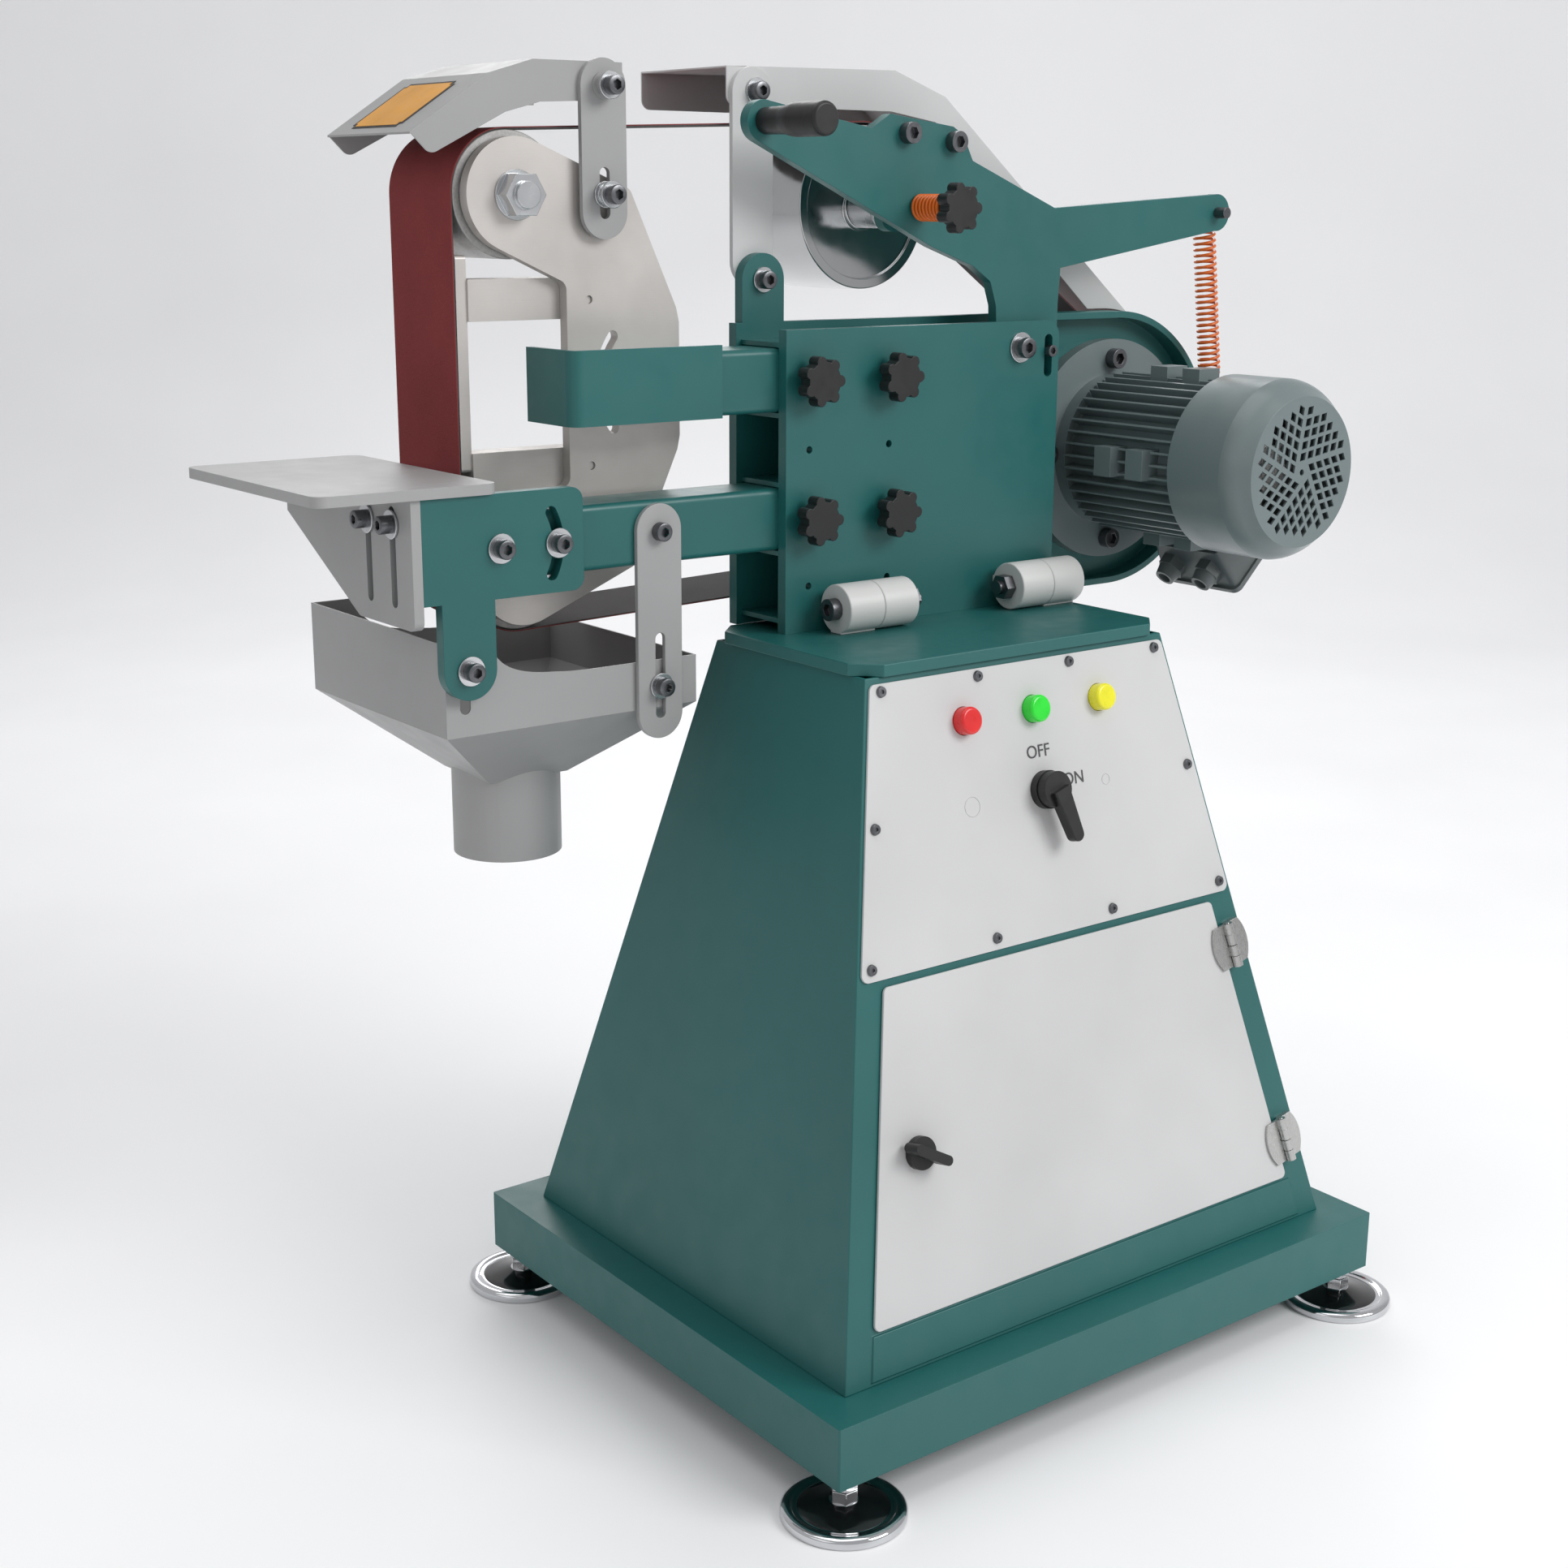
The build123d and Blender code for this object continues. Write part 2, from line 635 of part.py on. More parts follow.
def vent_holes():
    """Five sectors of rhombic holes in the fan cover's end, in rows along each sector's sides."""
    edge, pitch, reach = 6.6, 9.75, 54
    corners = ((-1, -1), (1, -1), (1, 1), (-1, 1))
    for sector in range(5):
        low, high = radians(72 * sector + 9), radians(72 * sector + 81)
        a, b = Vector(cos(low), sin(low)), Vector(cos(high), sin(high))
        for i in range(6):
            for j in range(5):
                middle = a * (i * pitch - 1.9) + b * (j * pitch + 13.6)
                if middle.length < reach:
                    hole = [middle + (a * u + b * v) * (edge / 2) for u, v in corners]
                    Polygon(*[(q.X, q.Y) for q in hole], align=None)


with BuildPart() as fan_cover:
    with BuildSketch(Plane(origin=(motor_x, 0, motor_z), x_dir=(1, 0, 0), z_dir=(0, 0, 1))):
        with BuildLine():
            Polyline((cover_r, cover_y0), (cover_r, cover_bend_y))
            ThreePointArc(
                (cover_r, cover_bend_y), (cover_r - 2.6, cover_bend_y - 9), (cover_r - 8, cover_bend_y - 17)
            )
            Polyline((cover_r - 8, cover_bend_y - 17), (cover_end_r, cover_end_y), (0, cover_end_y))
            Polyline((0, cover_end_y), (0, cover_end_y + 2), (cover_end_r - 1.4, cover_end_y + 2))
            Polyline((cover_end_r - 1.4, cover_end_y + 2), (cover_r - 10, cover_bend_y - 15.6))
            ThreePointArc(
                (cover_r - 10, cover_bend_y - 15.6),
                (cover_r - 4.6, cover_bend_y - 8),
                (cover_r - 2, cover_bend_y),
            )
            Polyline((cover_r - 2, cover_bend_y), (cover_r - 2, cover_y0), (cover_r, cover_y0))
        make_face()
    revolve(axis=Axis((motor_x, 0, motor_z), (0, 1, 0)))
    with BuildSketch(around_motor(cover_end_y + 4)):
        vent_holes()
        Circle(2.6)
    extrude(amount=8, mode=Mode.SUBTRACT)
    # spokes that centre the cover on the frame
    with BuildSketch(around_motor(cover_y0)):
        with PolarLocations(73, 4, 45):
            Rectangle(5, 10)
    extrude(amount=4)
save(fan_cover, "fan_cover")

# Terminal box at the motor's lower right: its lid faces out, its two cable glands point down to the left.
box_y, box_len, box_wide, box_lean = 17, 97, 112, 45
box_seat, box_lid, box_lid_t = 76, 113, 6
gland_depth, gland_spacing = 96, 44
box_out = Vector(sin(radians(box_lean)), 0, -cos(radians(box_lean)))
gland_out = Vector(-cos(radians(box_lean)), 0, -sin(radians(box_lean)))


def box_plane(distance):
    """Plane of the terminal box at a distance from the motor's axis; x runs along +Y."""
    middle = Vector(motor_x, box_y, motor_z) + box_out * distance
    return Plane(origin=middle, x_dir=(0, 1, 0), z_dir=box_out)


with BuildPart() as terminal_box:
    with BuildSketch(box_plane(box_seat)):
        RectangleRounded(box_len - 18, box_wide - 22, 6)
    with BuildSketch(box_plane(box_lid)):
        RectangleRounded(box_len - 6, box_wide - 6, 6)
    loft()
    with BuildSketch(box_plane(box_lid)):
        RectangleRounded(box_len, box_wide, 8)
    extrude(amount=box_lid_t)
    fillet(terminal_box.faces().filter_by(Plane(origin=(0, 0, 0), z_dir=box_out)).sort_by(Axis.Z)[0].edges(), 2)
    for side in (-1, 1):
        foot = box_plane(gland_depth).origin + Vector(0, side * gland_spacing / 2, 0) + gland_out * 40
        gland = Plane(origin=foot, x_dir=(0, 1, 0), z_dir=gland_out)
        with BuildSketch(gland):
            RegularPolygon(13, 6)
        extrude(amount=17)
        with BuildSketch(gland.offset(17)):
            Circle(11)
        extrude(amount=10, taper=12)
        with BuildSketch(gland.offset(27)):
            Circle(6)
        extrude(amount=-16, mode=Mode.SUBTRACT)
save(terminal_box, "terminal_box")

# Rotor, shaft and cooling fan turn as one.
with BuildPart() as motor_rotor:
    with BuildSketch(around_motor(wheel_y1 - 3)):
        Circle(12)
    extrude(amount=wheel_y1 - 3 + 98)
    with BuildSketch(around_motor(70)):
        Circle(42)
    extrude(amount=100)
    for y in (flange_y - 2.2, -46.2):
        with BuildSketch(around_motor(y)):
            Circle(16)
        extrude(amount=5.6)
    with BuildSketch(around_motor(-70)):
        Circle(20)
    extrude(amount=26)
    with BuildSketch(around_motor(-72)):
        with PolarLocations(40, 7):
            Rectangle(48, 3)
    extrude(amount=22)
    with BuildSketch(around_motor(-70)):
        Circle(66)
    extrude(amount=3)
save(motor_rotor, "motor_rotor")


def belt_wheel(x, z, r, bore, crown, face=8):
    """Belt wheel on Y: a slightly crowned rim, a web and a bored hub."""
    middle = (wheel_y0 + wheel_y1) / 2
    with BuildSketch(Plane(origin=(x, 0, z), x_dir=(1, 0, 0), z_dir=(0, 0, 1))) as profile:
        with BuildLine():
            Polyline((bore, wheel_y0), (r - crown, wheel_y0))
            if crown:
                ThreePointArc((r - crown, wheel_y0), (r, middle), (r - crown, wheel_y1))
            else:
                Line((r, wheel_y0), (r, wheel_y1))
            Polyline((r - crown, wheel_y1), (bore, wheel_y1), (bore, wheel_y0))
        make_face()
    revolve(profile.sketch, axis=Axis((x, 0, z), (0, 1, 0)))
    for y in (wheel_y0 + face, wheel_y1):
        with BuildSketch(across(y)) as recess:
            with Locations((x, z)):
                Circle(r - 9)
                Circle(bore + 9, mode=Mode.SUBTRACT)
        extrude(recess.sketch, amount=face, mode=Mode.SUBTRACT)


with BuildPart() as drive_wheel:
    belt_wheel(motor_x, motor_z, drive_r, 12, 0.6)
save(drive_wheel, "drive_wheel")

# ---------------------------------------------------------------- tension lever and tracking

with BuildPart() as tension_lever:
    with BuildSketch(across(lever_y1)):
        with BuildLine():
            Polyline(
                (-142, 1021), (-41, 1003), (-22, 1014.5), (45, 1006), (56, 1000), (67, 979.5), (162, 942)
            )
            Polyline((162, 942), (361, 954))
            ThreePointArc((361, 954), (381, 938), (363, 922))
            Polyline((363, 922), (171, 892), (169, 862), (169, 809), (100, 809), (97, 862), (90, 882))
            Polyline((90, 882), (70, 895), (24, 911), (-154, 991.5))
            ThreePointArc((-154, 991.5), (-162.5, 1010), (-142, 1021))
        make_face()
        with Locations((pivot_x, pivot_z)):
            Circle(6.06, mode=Mode.SUBTRACT)
        with Locations((track_x, track_z)):
            Circle(5.05, mode=Mode.SUBTRACT)
        with Locations(*hinge_screws):
            Circle(5.05, mode=Mode.SUBTRACT)
    plate(lever_y0, lever_y1)
    fillet(tension_lever.edges().filter_by(Axis.Y).group_by(SortBy.LENGTH)[-1].filter_by(
        lambda e: e.center().X > 85 and e.center().X < 100 and e.center().Z > 870), 6)
save(tension_lever, "tension_lever")

grip_x, grip_z = -146, 1006
with BuildPart() as lever_grip:
    with BuildSketch(Plane(origin=(grip_x, 0, grip_z), x_dir=(1, 0, 0), z_dir=(0, 0, 1))):
        with BuildLine():
            Polyline((0, lever_y0), (10, lever_y0), (10.5, 26))
            Spline((10.5, 26), (11.6, 18), (12.8, 8), tangents=((0, -1), (0, -1)))
            Polyline((12.8, 8), (12.8, -24.5), (10.8, -26.5), (0, -26.5), (0, lever_y0))
        make_face()
    revolve(axis=Axis((grip_x, 0, grip_z), (0, 1, 0)))
save(lever_grip, "lever_grip")

# Tracking plate's hinge line, behind the lever.
track_hinge_y, track_hinge_z = 71, 1000

# Screws, limit screw and spring pin of the lever, and the ears that carry the tracking plate.
with BuildPart() as lever_bolts:
    for x in (track_x - 34, track_x + 25.4):
        with BuildSketch(facing_x(x)):
            with Locations((track_hinge_y, track_hinge_z)):
                Circle(8)
            with Locations(((lever_y1 + track_hinge_y) / 2, track_hinge_z - 1)):
                Rectangle(track_hinge_y - lever_y1, 14)
        extrude(amount=8.6)
    with BuildSketch(facing_x(track_x - 34)):
        with Locations((track_hinge_y, track_hinge_z)):
            Circle(4)
    extrude(amount=68)
    for x, z in hinge_screws:
        front_screw(x, z, lever_y0, 8.5, 9, 5, lever_y1 - lever_y0)
    front_screw(limit_x, limit_z, near_y - 0.3, 5, 6, 4, 10.2, 0)
    rod(spring_pin_x, spring_pin_z, lever_y0 - 12, lever_y0, 5)
    rod(spring_pin_x, spring_pin_z, lever_y1, spring_y + 8, 5)
save(lever_bolts, "lever_bolts")

# Tracking plate, hung from a knuckle behind the lever.
with BuildPart() as tracking_plate:
    with BuildSketch(across(track_hinge_y + 6)):
        with Locations((track_x, 965)):
            RectangleRounded(50, 84, 12)
        with Locations((track_x, track_z)):
            Circle(axle_r, mode=Mode.SUBTRACT)
    extrude(amount=10)
    with BuildSketch(facing_x(track_x - 24)):
        with Locations((track_hinge_y, track_hinge_z)):
            Circle(9)
            Circle(4.08, mode=Mode.SUBTRACT)
    extrude(amount=48)
    with BuildSketch(facing_x(track_x - 40)):
        with Locations((track_hinge_y, track_hinge_z)):
            Circle(4.08)
    extrude(amount=80, mode=Mode.SUBTRACT)
save(tracking_plate, "tracking_plate")

with BuildPart() as tracking_axle:
    rod(track_x, track_z, track_hinge_y - 5, wheel_y1 + 4, axle_r - 0.02)
    nut_seat = Plane(origin=(track_x, track_hinge_y + 22, track_z), x_dir=(1, 0, 0), z_dir=(0, -1, 0))
    hex_nut(nut_seat, 30, 15.8, axle_r - 0.5)
    rod(track_x, track_z, track_hinge_y + 22, wheel_y0 - 0.5, 17)
    rod(track_x, track_z, wheel_y1 + 0.5, wheel_y1 + 4, 15)
save(tracking_axle, "tracking_axle")

with BuildPart() as tracking_wheel:
    belt_wheel(track_x, track_z, track_r, axle_r + 0.06, 0.8, 3)
save(tracking_wheel, "tracking_wheel")


def star(r_tip, r_valley, lobes=7):
    """Star-knob outline: a disc with round lobes."""
    Circle(r_valley)
    with PolarLocations(r_tip - 4.6, lobes):
        Circle(4.6)


def star_knob(x, z, front_y, stud_end_y, stud_radius, name):
    """Seven-lobed knob with its stud along Y."""
    with BuildPart() as knob:
        with BuildSketch(Plane(origin=(x, front_y + 12, z), x_dir=(1, 0, 0), z_dir=(0, -1, 0))):
            star(20, 15.6)
        extrude(amount=12)
        rod(x, z, front_y + 12, front_y + 17, 9.5)
        rod(x, z, front_y + 17, stud_end_y, stud_radius)
    save(knob, name)


star_knob(track_x, track_z, -5, track_hinge_y - 8.5, 5, "tracking_knob")
clamps = [(x, z) for z in (upper_z, lower_z) for x in knob_x]
for i, (x, z) in enumerate(clamps):
    star_knob(x, z, 18.5, slot_y0 + 0.05, 5, f"clamp_knob_{i + 1}")


def coil(origin, direction, length, radius, wire, pitch, builder_name):
    """Round-wire coil spring along a direction."""
    with BuildPart() as spring:
        with BuildLine():
            path = Helix(pitch=pitch, height=length, radius=radius, center=origin, direction=direction)
        with BuildSketch(Plane(origin=path @ 0, z_dir=path % 0)):
            Circle(wire)
        sweep(path=path, is_frenet=True)
    save(spring, builder_name)


coil((track_x, 13.6, track_z), (0, 1, 0), lever_y0 - 13.6 - 1.6, 9.4, 1.5, 4.2, "tracking_spring")
rear_dir = Vector(post_x - spring_pin_x, 0, post_z - spring_pin_z)
rear_start = Vector(spring_pin_x, spring_y, spring_pin_z) + rear_dir.normalized() * 14
coil(rear_start, rear_dir, rear_dir.length - 28, 9.2, 1.3, 5.5, "tension_spring")

# Bolts of the head: motor flange, lever pivot, rear-guard strap and the spring's post.
with BuildPart() as head_bolts:
    for x, z in flange_bolts:
        front_screw(x, z, flange_y, 9, 10, 5, flange_t + motor_plate_t)
    front_screw(pivot_x, pivot_z, near_y, 8.5, 9, 6, far_y - near_y, 12.5)
    rod(pivot_x, pivot_z, lever_y1 + 0.3, slot_y1, 11)
    front_screw(lug_x, lug_z, slot_y1, 7, 8, 4, 14, 10)
    front_screw(lug_x, 1031, far_y, 7, 8, 4, 6.4, 10)
    rod(post_x, post_z, spring_y - 8, far_y, 4.5)
save(head_bolts, "head_bolts")

# ---------------------------------------------------------------- upper arm and platen


def square_tube(x0, x1, z):
    """Square tube along X, centred in the head's slot."""
    with BuildSketch(facing_x(x0)) as profile:
        with Locations((arm_y, z)):
            RectangleRounded(tube, tube, 5)
            RectangleRounded(tube - 2 * tube_wall, tube - 2 * tube_wall, 2, mode=Mode.SUBTRACT)
    extrude(profile.sketch, amount=x1 - x0)


arm_near, arm_far = arm_y - tube / 2, arm_y + tube / 2
bracket_t = 5
with BuildPart() as upper_arm:
    square_tube(-322, 40, upper_z)
    # folded bracket round the end of the tube
    with BuildSketch(Plane.XY.offset(upper_z - tube / 2 - 1)):
        with BuildLine():
            Polyline((-191, arm_near), (-191, arm_near - bracket_t), (-317, arm_near - bracket_t))
            ThreePointArc((-317, arm_near - bracket_t), (-324, arm_near - 2), (-327, arm_near + 5))
            Polyline((-327, arm_near + 5), (-327, platen_y0), (-322, platen_y0), (-322, arm_near))
            Polyline((-322, arm_near), (-191, arm_near))
        make_face()
    extrude(amount=tube + 6)
    with BuildSketch(across(platen_y0)):
        with Locations((-259, upper_z)):
            Rectangle(136, tube)
    plate(arm_far, platen_y0)
    rod(platen_pivot_x, upper_z, platen_y0, platen_y1 + 6, 6)
    rod(platen_pivot_x, upper_z, platen_y1 + 0.3, platen_y1 + 5, 11)
    rod(platen_pivot_x - platen_slot_r, upper_z, platen_y0, platen_y1 + 6, 4)
    rod(platen_pivot_x - platen_slot_r, upper_z, platen_y1 + 0.3, platen_y1 + 5, 8)
save(upper_arm, "upper_arm")


def platen_outline(side):
    """Upper (side 1) or lower (side -1) half of the platen plate, mirrored about the arm."""
    points = [(-316.3, 180), (-231, 145.5), (-189, 55.5), (-186.5, 44.5), (-186.5, 0), (-290, 0)]
    points += [(-290, 76), (-349, 102.5)]
    Polygon(*[(x, upper_z + side * z) for x, z in points], align=None)
    with Locations((contact_x, upper_z + side * 141)):
        Circle(42)


with BuildPart() as platen_plate:
    with BuildSketch(across(platen_y1)):
        platen_outline(1)
        platen_outline(-1)
        outer = [v for v in vertices() if abs(v.X + 231) < 1]
        inner = [v for v in vertices() if abs(v.X + 290) < 1 and abs(v.Y - upper_z) > 50]
        corners = outer + inner
        fillet(corners, 8)
        with Locations((contact_x, contact_top_z), (contact_x, contact_bottom_z)):
            Circle(axle_r + 0.02, mode=Mode.SUBTRACT)
        with Locations((-270, upper_z + 63.5), (-270, upper_z - 63.5)):
            Circle(3.2, mode=Mode.SUBTRACT)
        with Locations((platen_pivot_x, upper_z)):
            Circle(6.08, mode=Mode.SUBTRACT)
        with Locations((-260, 951)):
            Circle(4.05, mode=Mode.SUBTRACT)
        arc_slot(platen_pivot_x, upper_z, platen_slot_r, 180, 76, 9.4)
    plate(platen_y0, platen_y1)
save(platen_plate, "platen_plate")

bar_front = contact_x - contact_r + 0.3
with BuildPart() as platen_frame:
    with BuildSketch(facing_x(bar_front)):
        with Locations(((belt_y0 + belt_y1) / 2, upper_z + 17)):
            RectangleRounded(belt_y1 - belt_y0, 161, 3)
    extrude(amount=9)
    for side in (-1, 1):
        with BuildSketch(across(platen_y1 + 24)):
            with Locations(((bar_front + 9 - 254) / 2, upper_z + side * 64.5)):
                RectangleRounded(-254 - bar_front - 9, 31, 1)
        extrude(amount=24 - 0.2)
        rod(-270, upper_z + side * 63.5, platen_y0 + 2, platen_y1 + 1, 3.1)
save(platen_frame, "platen_frame")

# Axles of the contact wheels, and the screw that holds the front guard's strap.
with BuildPart() as contact_axles:
    front_screw(-260, 951, strap_y0 - 0.3, 7, 8, 4, platen_y1 - strap_y0 + 0.3, 10)
    rod(-260, 951, strap_y0 + strap_t + 0.4, platen_y0, 9)
    # the lower nut is a thin one, flush with its axle, because it passes behind the lower arm
    for z, nut_t, stub in ((contact_top_z, 13, 4), (contact_bottom_z, 7.6, 0)):
        nut_y = platen_y0 - axle_washer_t
        rod(contact_x, z, nut_y - nut_t - stub, wheel_y1 + 4, axle_r - 0.02)
        rod(contact_x, z, nut_y, platen_y0, 18.5)
        with BuildSketch(Plane(origin=(contact_x, nut_y, z), x_dir=(1, 0, 0), z_dir=(0, -1, 0))):
            RegularPolygon(17.3, 6)
        extrude(amount=nut_t)
        rod(contact_x, z, platen_y1, wheel_y0 - 0.5, 15)
        rod(contact_x, z, wheel_y1 + 0.5, wheel_y1 + 4, 15)
save(contact_axles, "contact_axles")

with BuildPart() as upper_contact_wheel:
    belt_wheel(contact_x, contact_top_z, contact_r, axle_r + 0.06, 0)
save(upper_contact_wheel, "upper_contact_wheel")

with BuildPart() as lower_contact_wheel:
    belt_wheel(contact_x, contact_bottom_z, contact_r, axle_r + 0.06, 0)
save(lower_contact_wheel, "lower_contact_wheel")

# ---------------------------------------------------------------- guards

guard_sheet = 1.5


def guard_channel(points, y0, y1, depth, drops):
    """Folded sheet channel over the belt: a roof along points and two side flanges."""
    roof = points + [(x, z - guard_sheet) for x, z in reversed(points)]
    with BuildSketch(across(y1)) as top:
        Polygon(*roof, align=None)
    extrude(top.sketch, amount=y1 - y0)
    lower = [(x + depth * dx, z + depth * dz) for (x, z), (dx, dz) in zip(points, drops)]
    for y in (y0 + guard_sheet, y1):
        with BuildSketch(across(y)) as flange:
            Polygon(*(points + list(reversed(lower))), align=None)
            fillet([v for v in vertices() if (Vector(v.X, v.Y) - Vector(*lower[0])).length < 0.5], 8)
        extrude(flange.sketch, amount=guard_sheet)


front_guard_points = [(-421, 993.5), (-355.5, 1036), (-318, 1047), (-240, 1047.3)]
front_guard_drops = [(0.53, -0.52), (0.44, -0.9), (0.19, -1.0), (0.0, -0.9)]
with BuildPart() as front_guard:
    guard_channel(front_guard_points, strap_y0 + strap_t, 236, 30, front_guard_drops)
    with BuildSketch(across(strap_y0 + strap_t)):
        with Locations((-260, 984)):
            SlotOverall(132, 40, rotation=90)
        with Locations((-260, 952)):
            SlotOverall(38, 9, rotation=90, mode=Mode.SUBTRACT)
    plate(strap_y0, strap_y0 + strap_t)
    front_screw(-260, 1030, strap_y0, 7, 8, 4, 8, 10)
save(front_guard, "front_guard")

rear_guard_points = [(-136.5, 1049.5), (36, 1052), (92, 1032.5), (328, 842)]
rear_guard_drops = [(0.0, -1.0), (-0.12, -1.1), (-0.36, -0.7), (-0.63, -0.78)]
rear_y0 = far_y + strap_t
with BuildPart() as rear_guard:
    guard_channel(rear_guard_points, rear_y0, 235, 30, rear_guard_drops)
    with BuildSketch(across(far_y + strap_t)):
        with Locations((-114, 964.5)):
            SlotOverall(170, 40, rotation=90)
    plate(far_y, far_y + strap_t)
    for z in (lug_z, 1031):
        rod(lug_x, z, far_y, rear_y0 + 2 * guard_sheet, 4.05, Mode.SUBTRACT)
    # clearance round the motor plate
    rod(motor_x, motor_z, far_y, plate_y1 + 0.4, rim_r + 1.5, Mode.SUBTRACT)
    with BuildSketch(across(plate_y1 + 0.4)):
        with Locations(((104 + motor_x) / 2, motor_z)):
            Rectangle(motor_x - 104, 2 * rim_r + 3)
    extrude(amount=plate_y1 + 0.4 - far_y, mode=Mode.SUBTRACT)
save(rear_guard, "rear_guard")

# ---------------------------------------------------------------- lower arm, work rest, hopper

with BuildPart() as lower_arm:
    square_tube(-425, 60, lower_z)
    front_screw(rest_pivot_x, lower_z + 1, rest_y0 - 0.2, 7, 8, 4, 12, 11)
    front_screw(rest_pivot_x + rest_arc_r, lower_z + 1, rest_y0 - 0.2, 7, 8, 4, 12, 11)
    front_screw(strap_x, lower_z + 1, slot_y0 - strap_t, 7, 8, 4, 8)
save(lower_arm, "lower_arm")

rest_pivot_z = lower_z + 1
leg_x, leg_z, leg_r = -422, 612.5, 22
with BuildPart() as rest_bracket:
    with BuildSketch(across(rest_y1)):
        with Locations(((rest_face_x - 323) / 2, (663.5 + 741) / 2)):
            Rectangle(-323 - rest_face_x, 741 - 663.5)
            fillet(vertices().group_by(Axis.X)[-1], 10)
        with Locations((leg_x, (leg_z + 664) / 2)):
            Rectangle(2 * leg_r, 664 - leg_z)
        with Locations((leg_x, leg_z)):
            Circle(leg_r)
        with Locations((rest_pivot_x, rest_pivot_z)):
            Circle(4.08, mode=Mode.SUBTRACT)
        arc_slot(rest_pivot_x, rest_pivot_z, rest_arc_r, 0, 56, 9.4)
    plate(rest_y0, rest_y1)
    # flange that the table's screws go into
    with BuildSketch(facing_x(rest_face_x)):
        Polygon((rest_y0, 741), (rest_y0, 663.5), (127, 663.5), (127, 741), align=None)
        with Locations(*table_screws):
            Circle(4.05, mode=Mode.SUBTRACT)
    extrude(amount=10)
    rod(leg_x, leg_z, rest_y0, rest_y1, 4.05, Mode.SUBTRACT)
save(rest_bracket, "rest_bracket")

with BuildPart() as rest_screws:
    for y, z in table_screws:
        seat = Plane(origin=(rest_face_x - table_t - 2, y, z), x_dir=(0, 1, 0), z_dir=(-1, 0, 0))
        with BuildSketch(seat):
            Circle(10.5)
        extrude(amount=-1.6)
        cap_screw(seat, 6.5, 8, 4, table_t + 10)
    front_screw(leg_x, leg_z, rest_y0, 7, 8, 4, rest_y1 - rest_y0 - 0.3, 11)
save(rest_screws, "rest_screws")

with BuildPart() as work_table:
    with BuildSketch(Plane.XY.offset(table_top - table_t)):
        with Locations(((table_x0 + table_x1) / 2, (table_y0 + table_y1) / 2)):
            RectangleRounded(table_x1 - table_x0, table_y1 - table_y0, 10)
    extrude(amount=table_t)
    with BuildSketch(facing_x(rest_face_x - table_t)):
        under = table_top - table_t
        Polygon((rest_y0, under), (rest_y0, 646), (125, 646), (243, 712), (243, under), align=None)
        fillet(vertices().sort_by(Axis.Y)[:2], 7)
        for y, z in table_screws:
            with Locations((y, 697)):
                SlotOverall(74, 8.8, rotation=90, mode=Mode.SUBTRACT)
    extrude(amount=table_t)
save(work_table, "work_table")

hopper_w, hopper_d = hopper_x1 - hopper_x0, hopper_y1 - hopper_y0
hopper_mid = ((hopper_x0 + hopper_x1) / 2, (hopper_y0 + hopper_y1) / 2)
with BuildPart() as hopper:
    for inset in (0, hopper_sheet):
        with BuildSketch(Plane.XY.offset(hopper_fold - 0.01 * bool(inset))):
            with Locations(hopper_mid):
                Rectangle(hopper_w - 2 * inset, hopper_d - 2 * inset)
        extrude(amount=hopper_high - hopper_fold + inset, mode=Mode.SUBTRACT if inset else Mode.ADD)
        with BuildSketch(Plane.XY.offset(hopper_fold)):
            with Locations(hopper_mid):
                Rectangle(hopper_w - 2 * inset, hopper_d - 2 * inset)
        with BuildSketch(Plane.XY.offset(hopper_neck)):
            with Locations(hopper_mid):
                Rectangle(1.64 * outlet_r - 2 * inset, 1.64 * outlet_r - 2 * inset)
        loft(mode=Mode.SUBTRACT if inset else Mode.ADD)
    # the rim steps down in a soft curve towards the belt's return run
    with BuildSketch(across(hopper_y1 + 1)):
        with BuildLine():
            Spline((-405, hopper_high + 5), (-388, 612), (-340, 600.5), (-296, hopper_low),
                   tangents=((0.5, -1), (1, 0)))
            Polyline((-296, hopper_low), (hopper_x1 + 1, hopper_low), (hopper_x1 + 1, hopper_high + 5))
            Line((hopper_x1 + 1, hopper_high + 5), (-405, hopper_high + 5))
        make_face()
    extrude(amount=hopper_d + 2, mode=Mode.SUBTRACT)
    with BuildSketch(Plane.XY.offset(hopper_end)):
        with Locations(hopper_mid):
            Circle(outlet_r)
    extrude(amount=hopper_neck - hopper_end + 12)
    with BuildSketch(Plane.XY.offset(hopper_end)):
        with Locations(hopper_mid):
            Circle(outlet_r - hopper_sheet)
    extrude(amount=hopper_neck - hopper_end + 13, mode=Mode.SUBTRACT)
    # slot for the bracket's leg screw, and the strap's screw
    with BuildSketch(across(hopper_y0 + 5)):
        with Locations((leg_x, 601)):
            SlotOverall(46, 9, rotation=90)
    extrude(amount=10, mode=Mode.SUBTRACT)
    front_screw(strap_x, 579, slot_y0 - strap_t - 0.3, 7, 8, 4, strap_t + 2.4, 10)
save(hopper, "hopper")

with BuildPart() as hopper_strap:
    with BuildSketch(across(slot_y0)):
        with Locations((strap_x, 629.5)):
            SlotOverall(185, 41, rotation=90)
        with Locations((strap_x, 587)):
            SlotOverall(68, 9, rotation=90, mode=Mode.SUBTRACT)
        with Locations((strap_x, lower_z + 1)):
            Circle(4.05, mode=Mode.SUBTRACT)
    plate(slot_y0 - strap_t, slot_y0)
save(hopper_strap, "hopper_strap")

# ---------------------------------------------------------------- belt

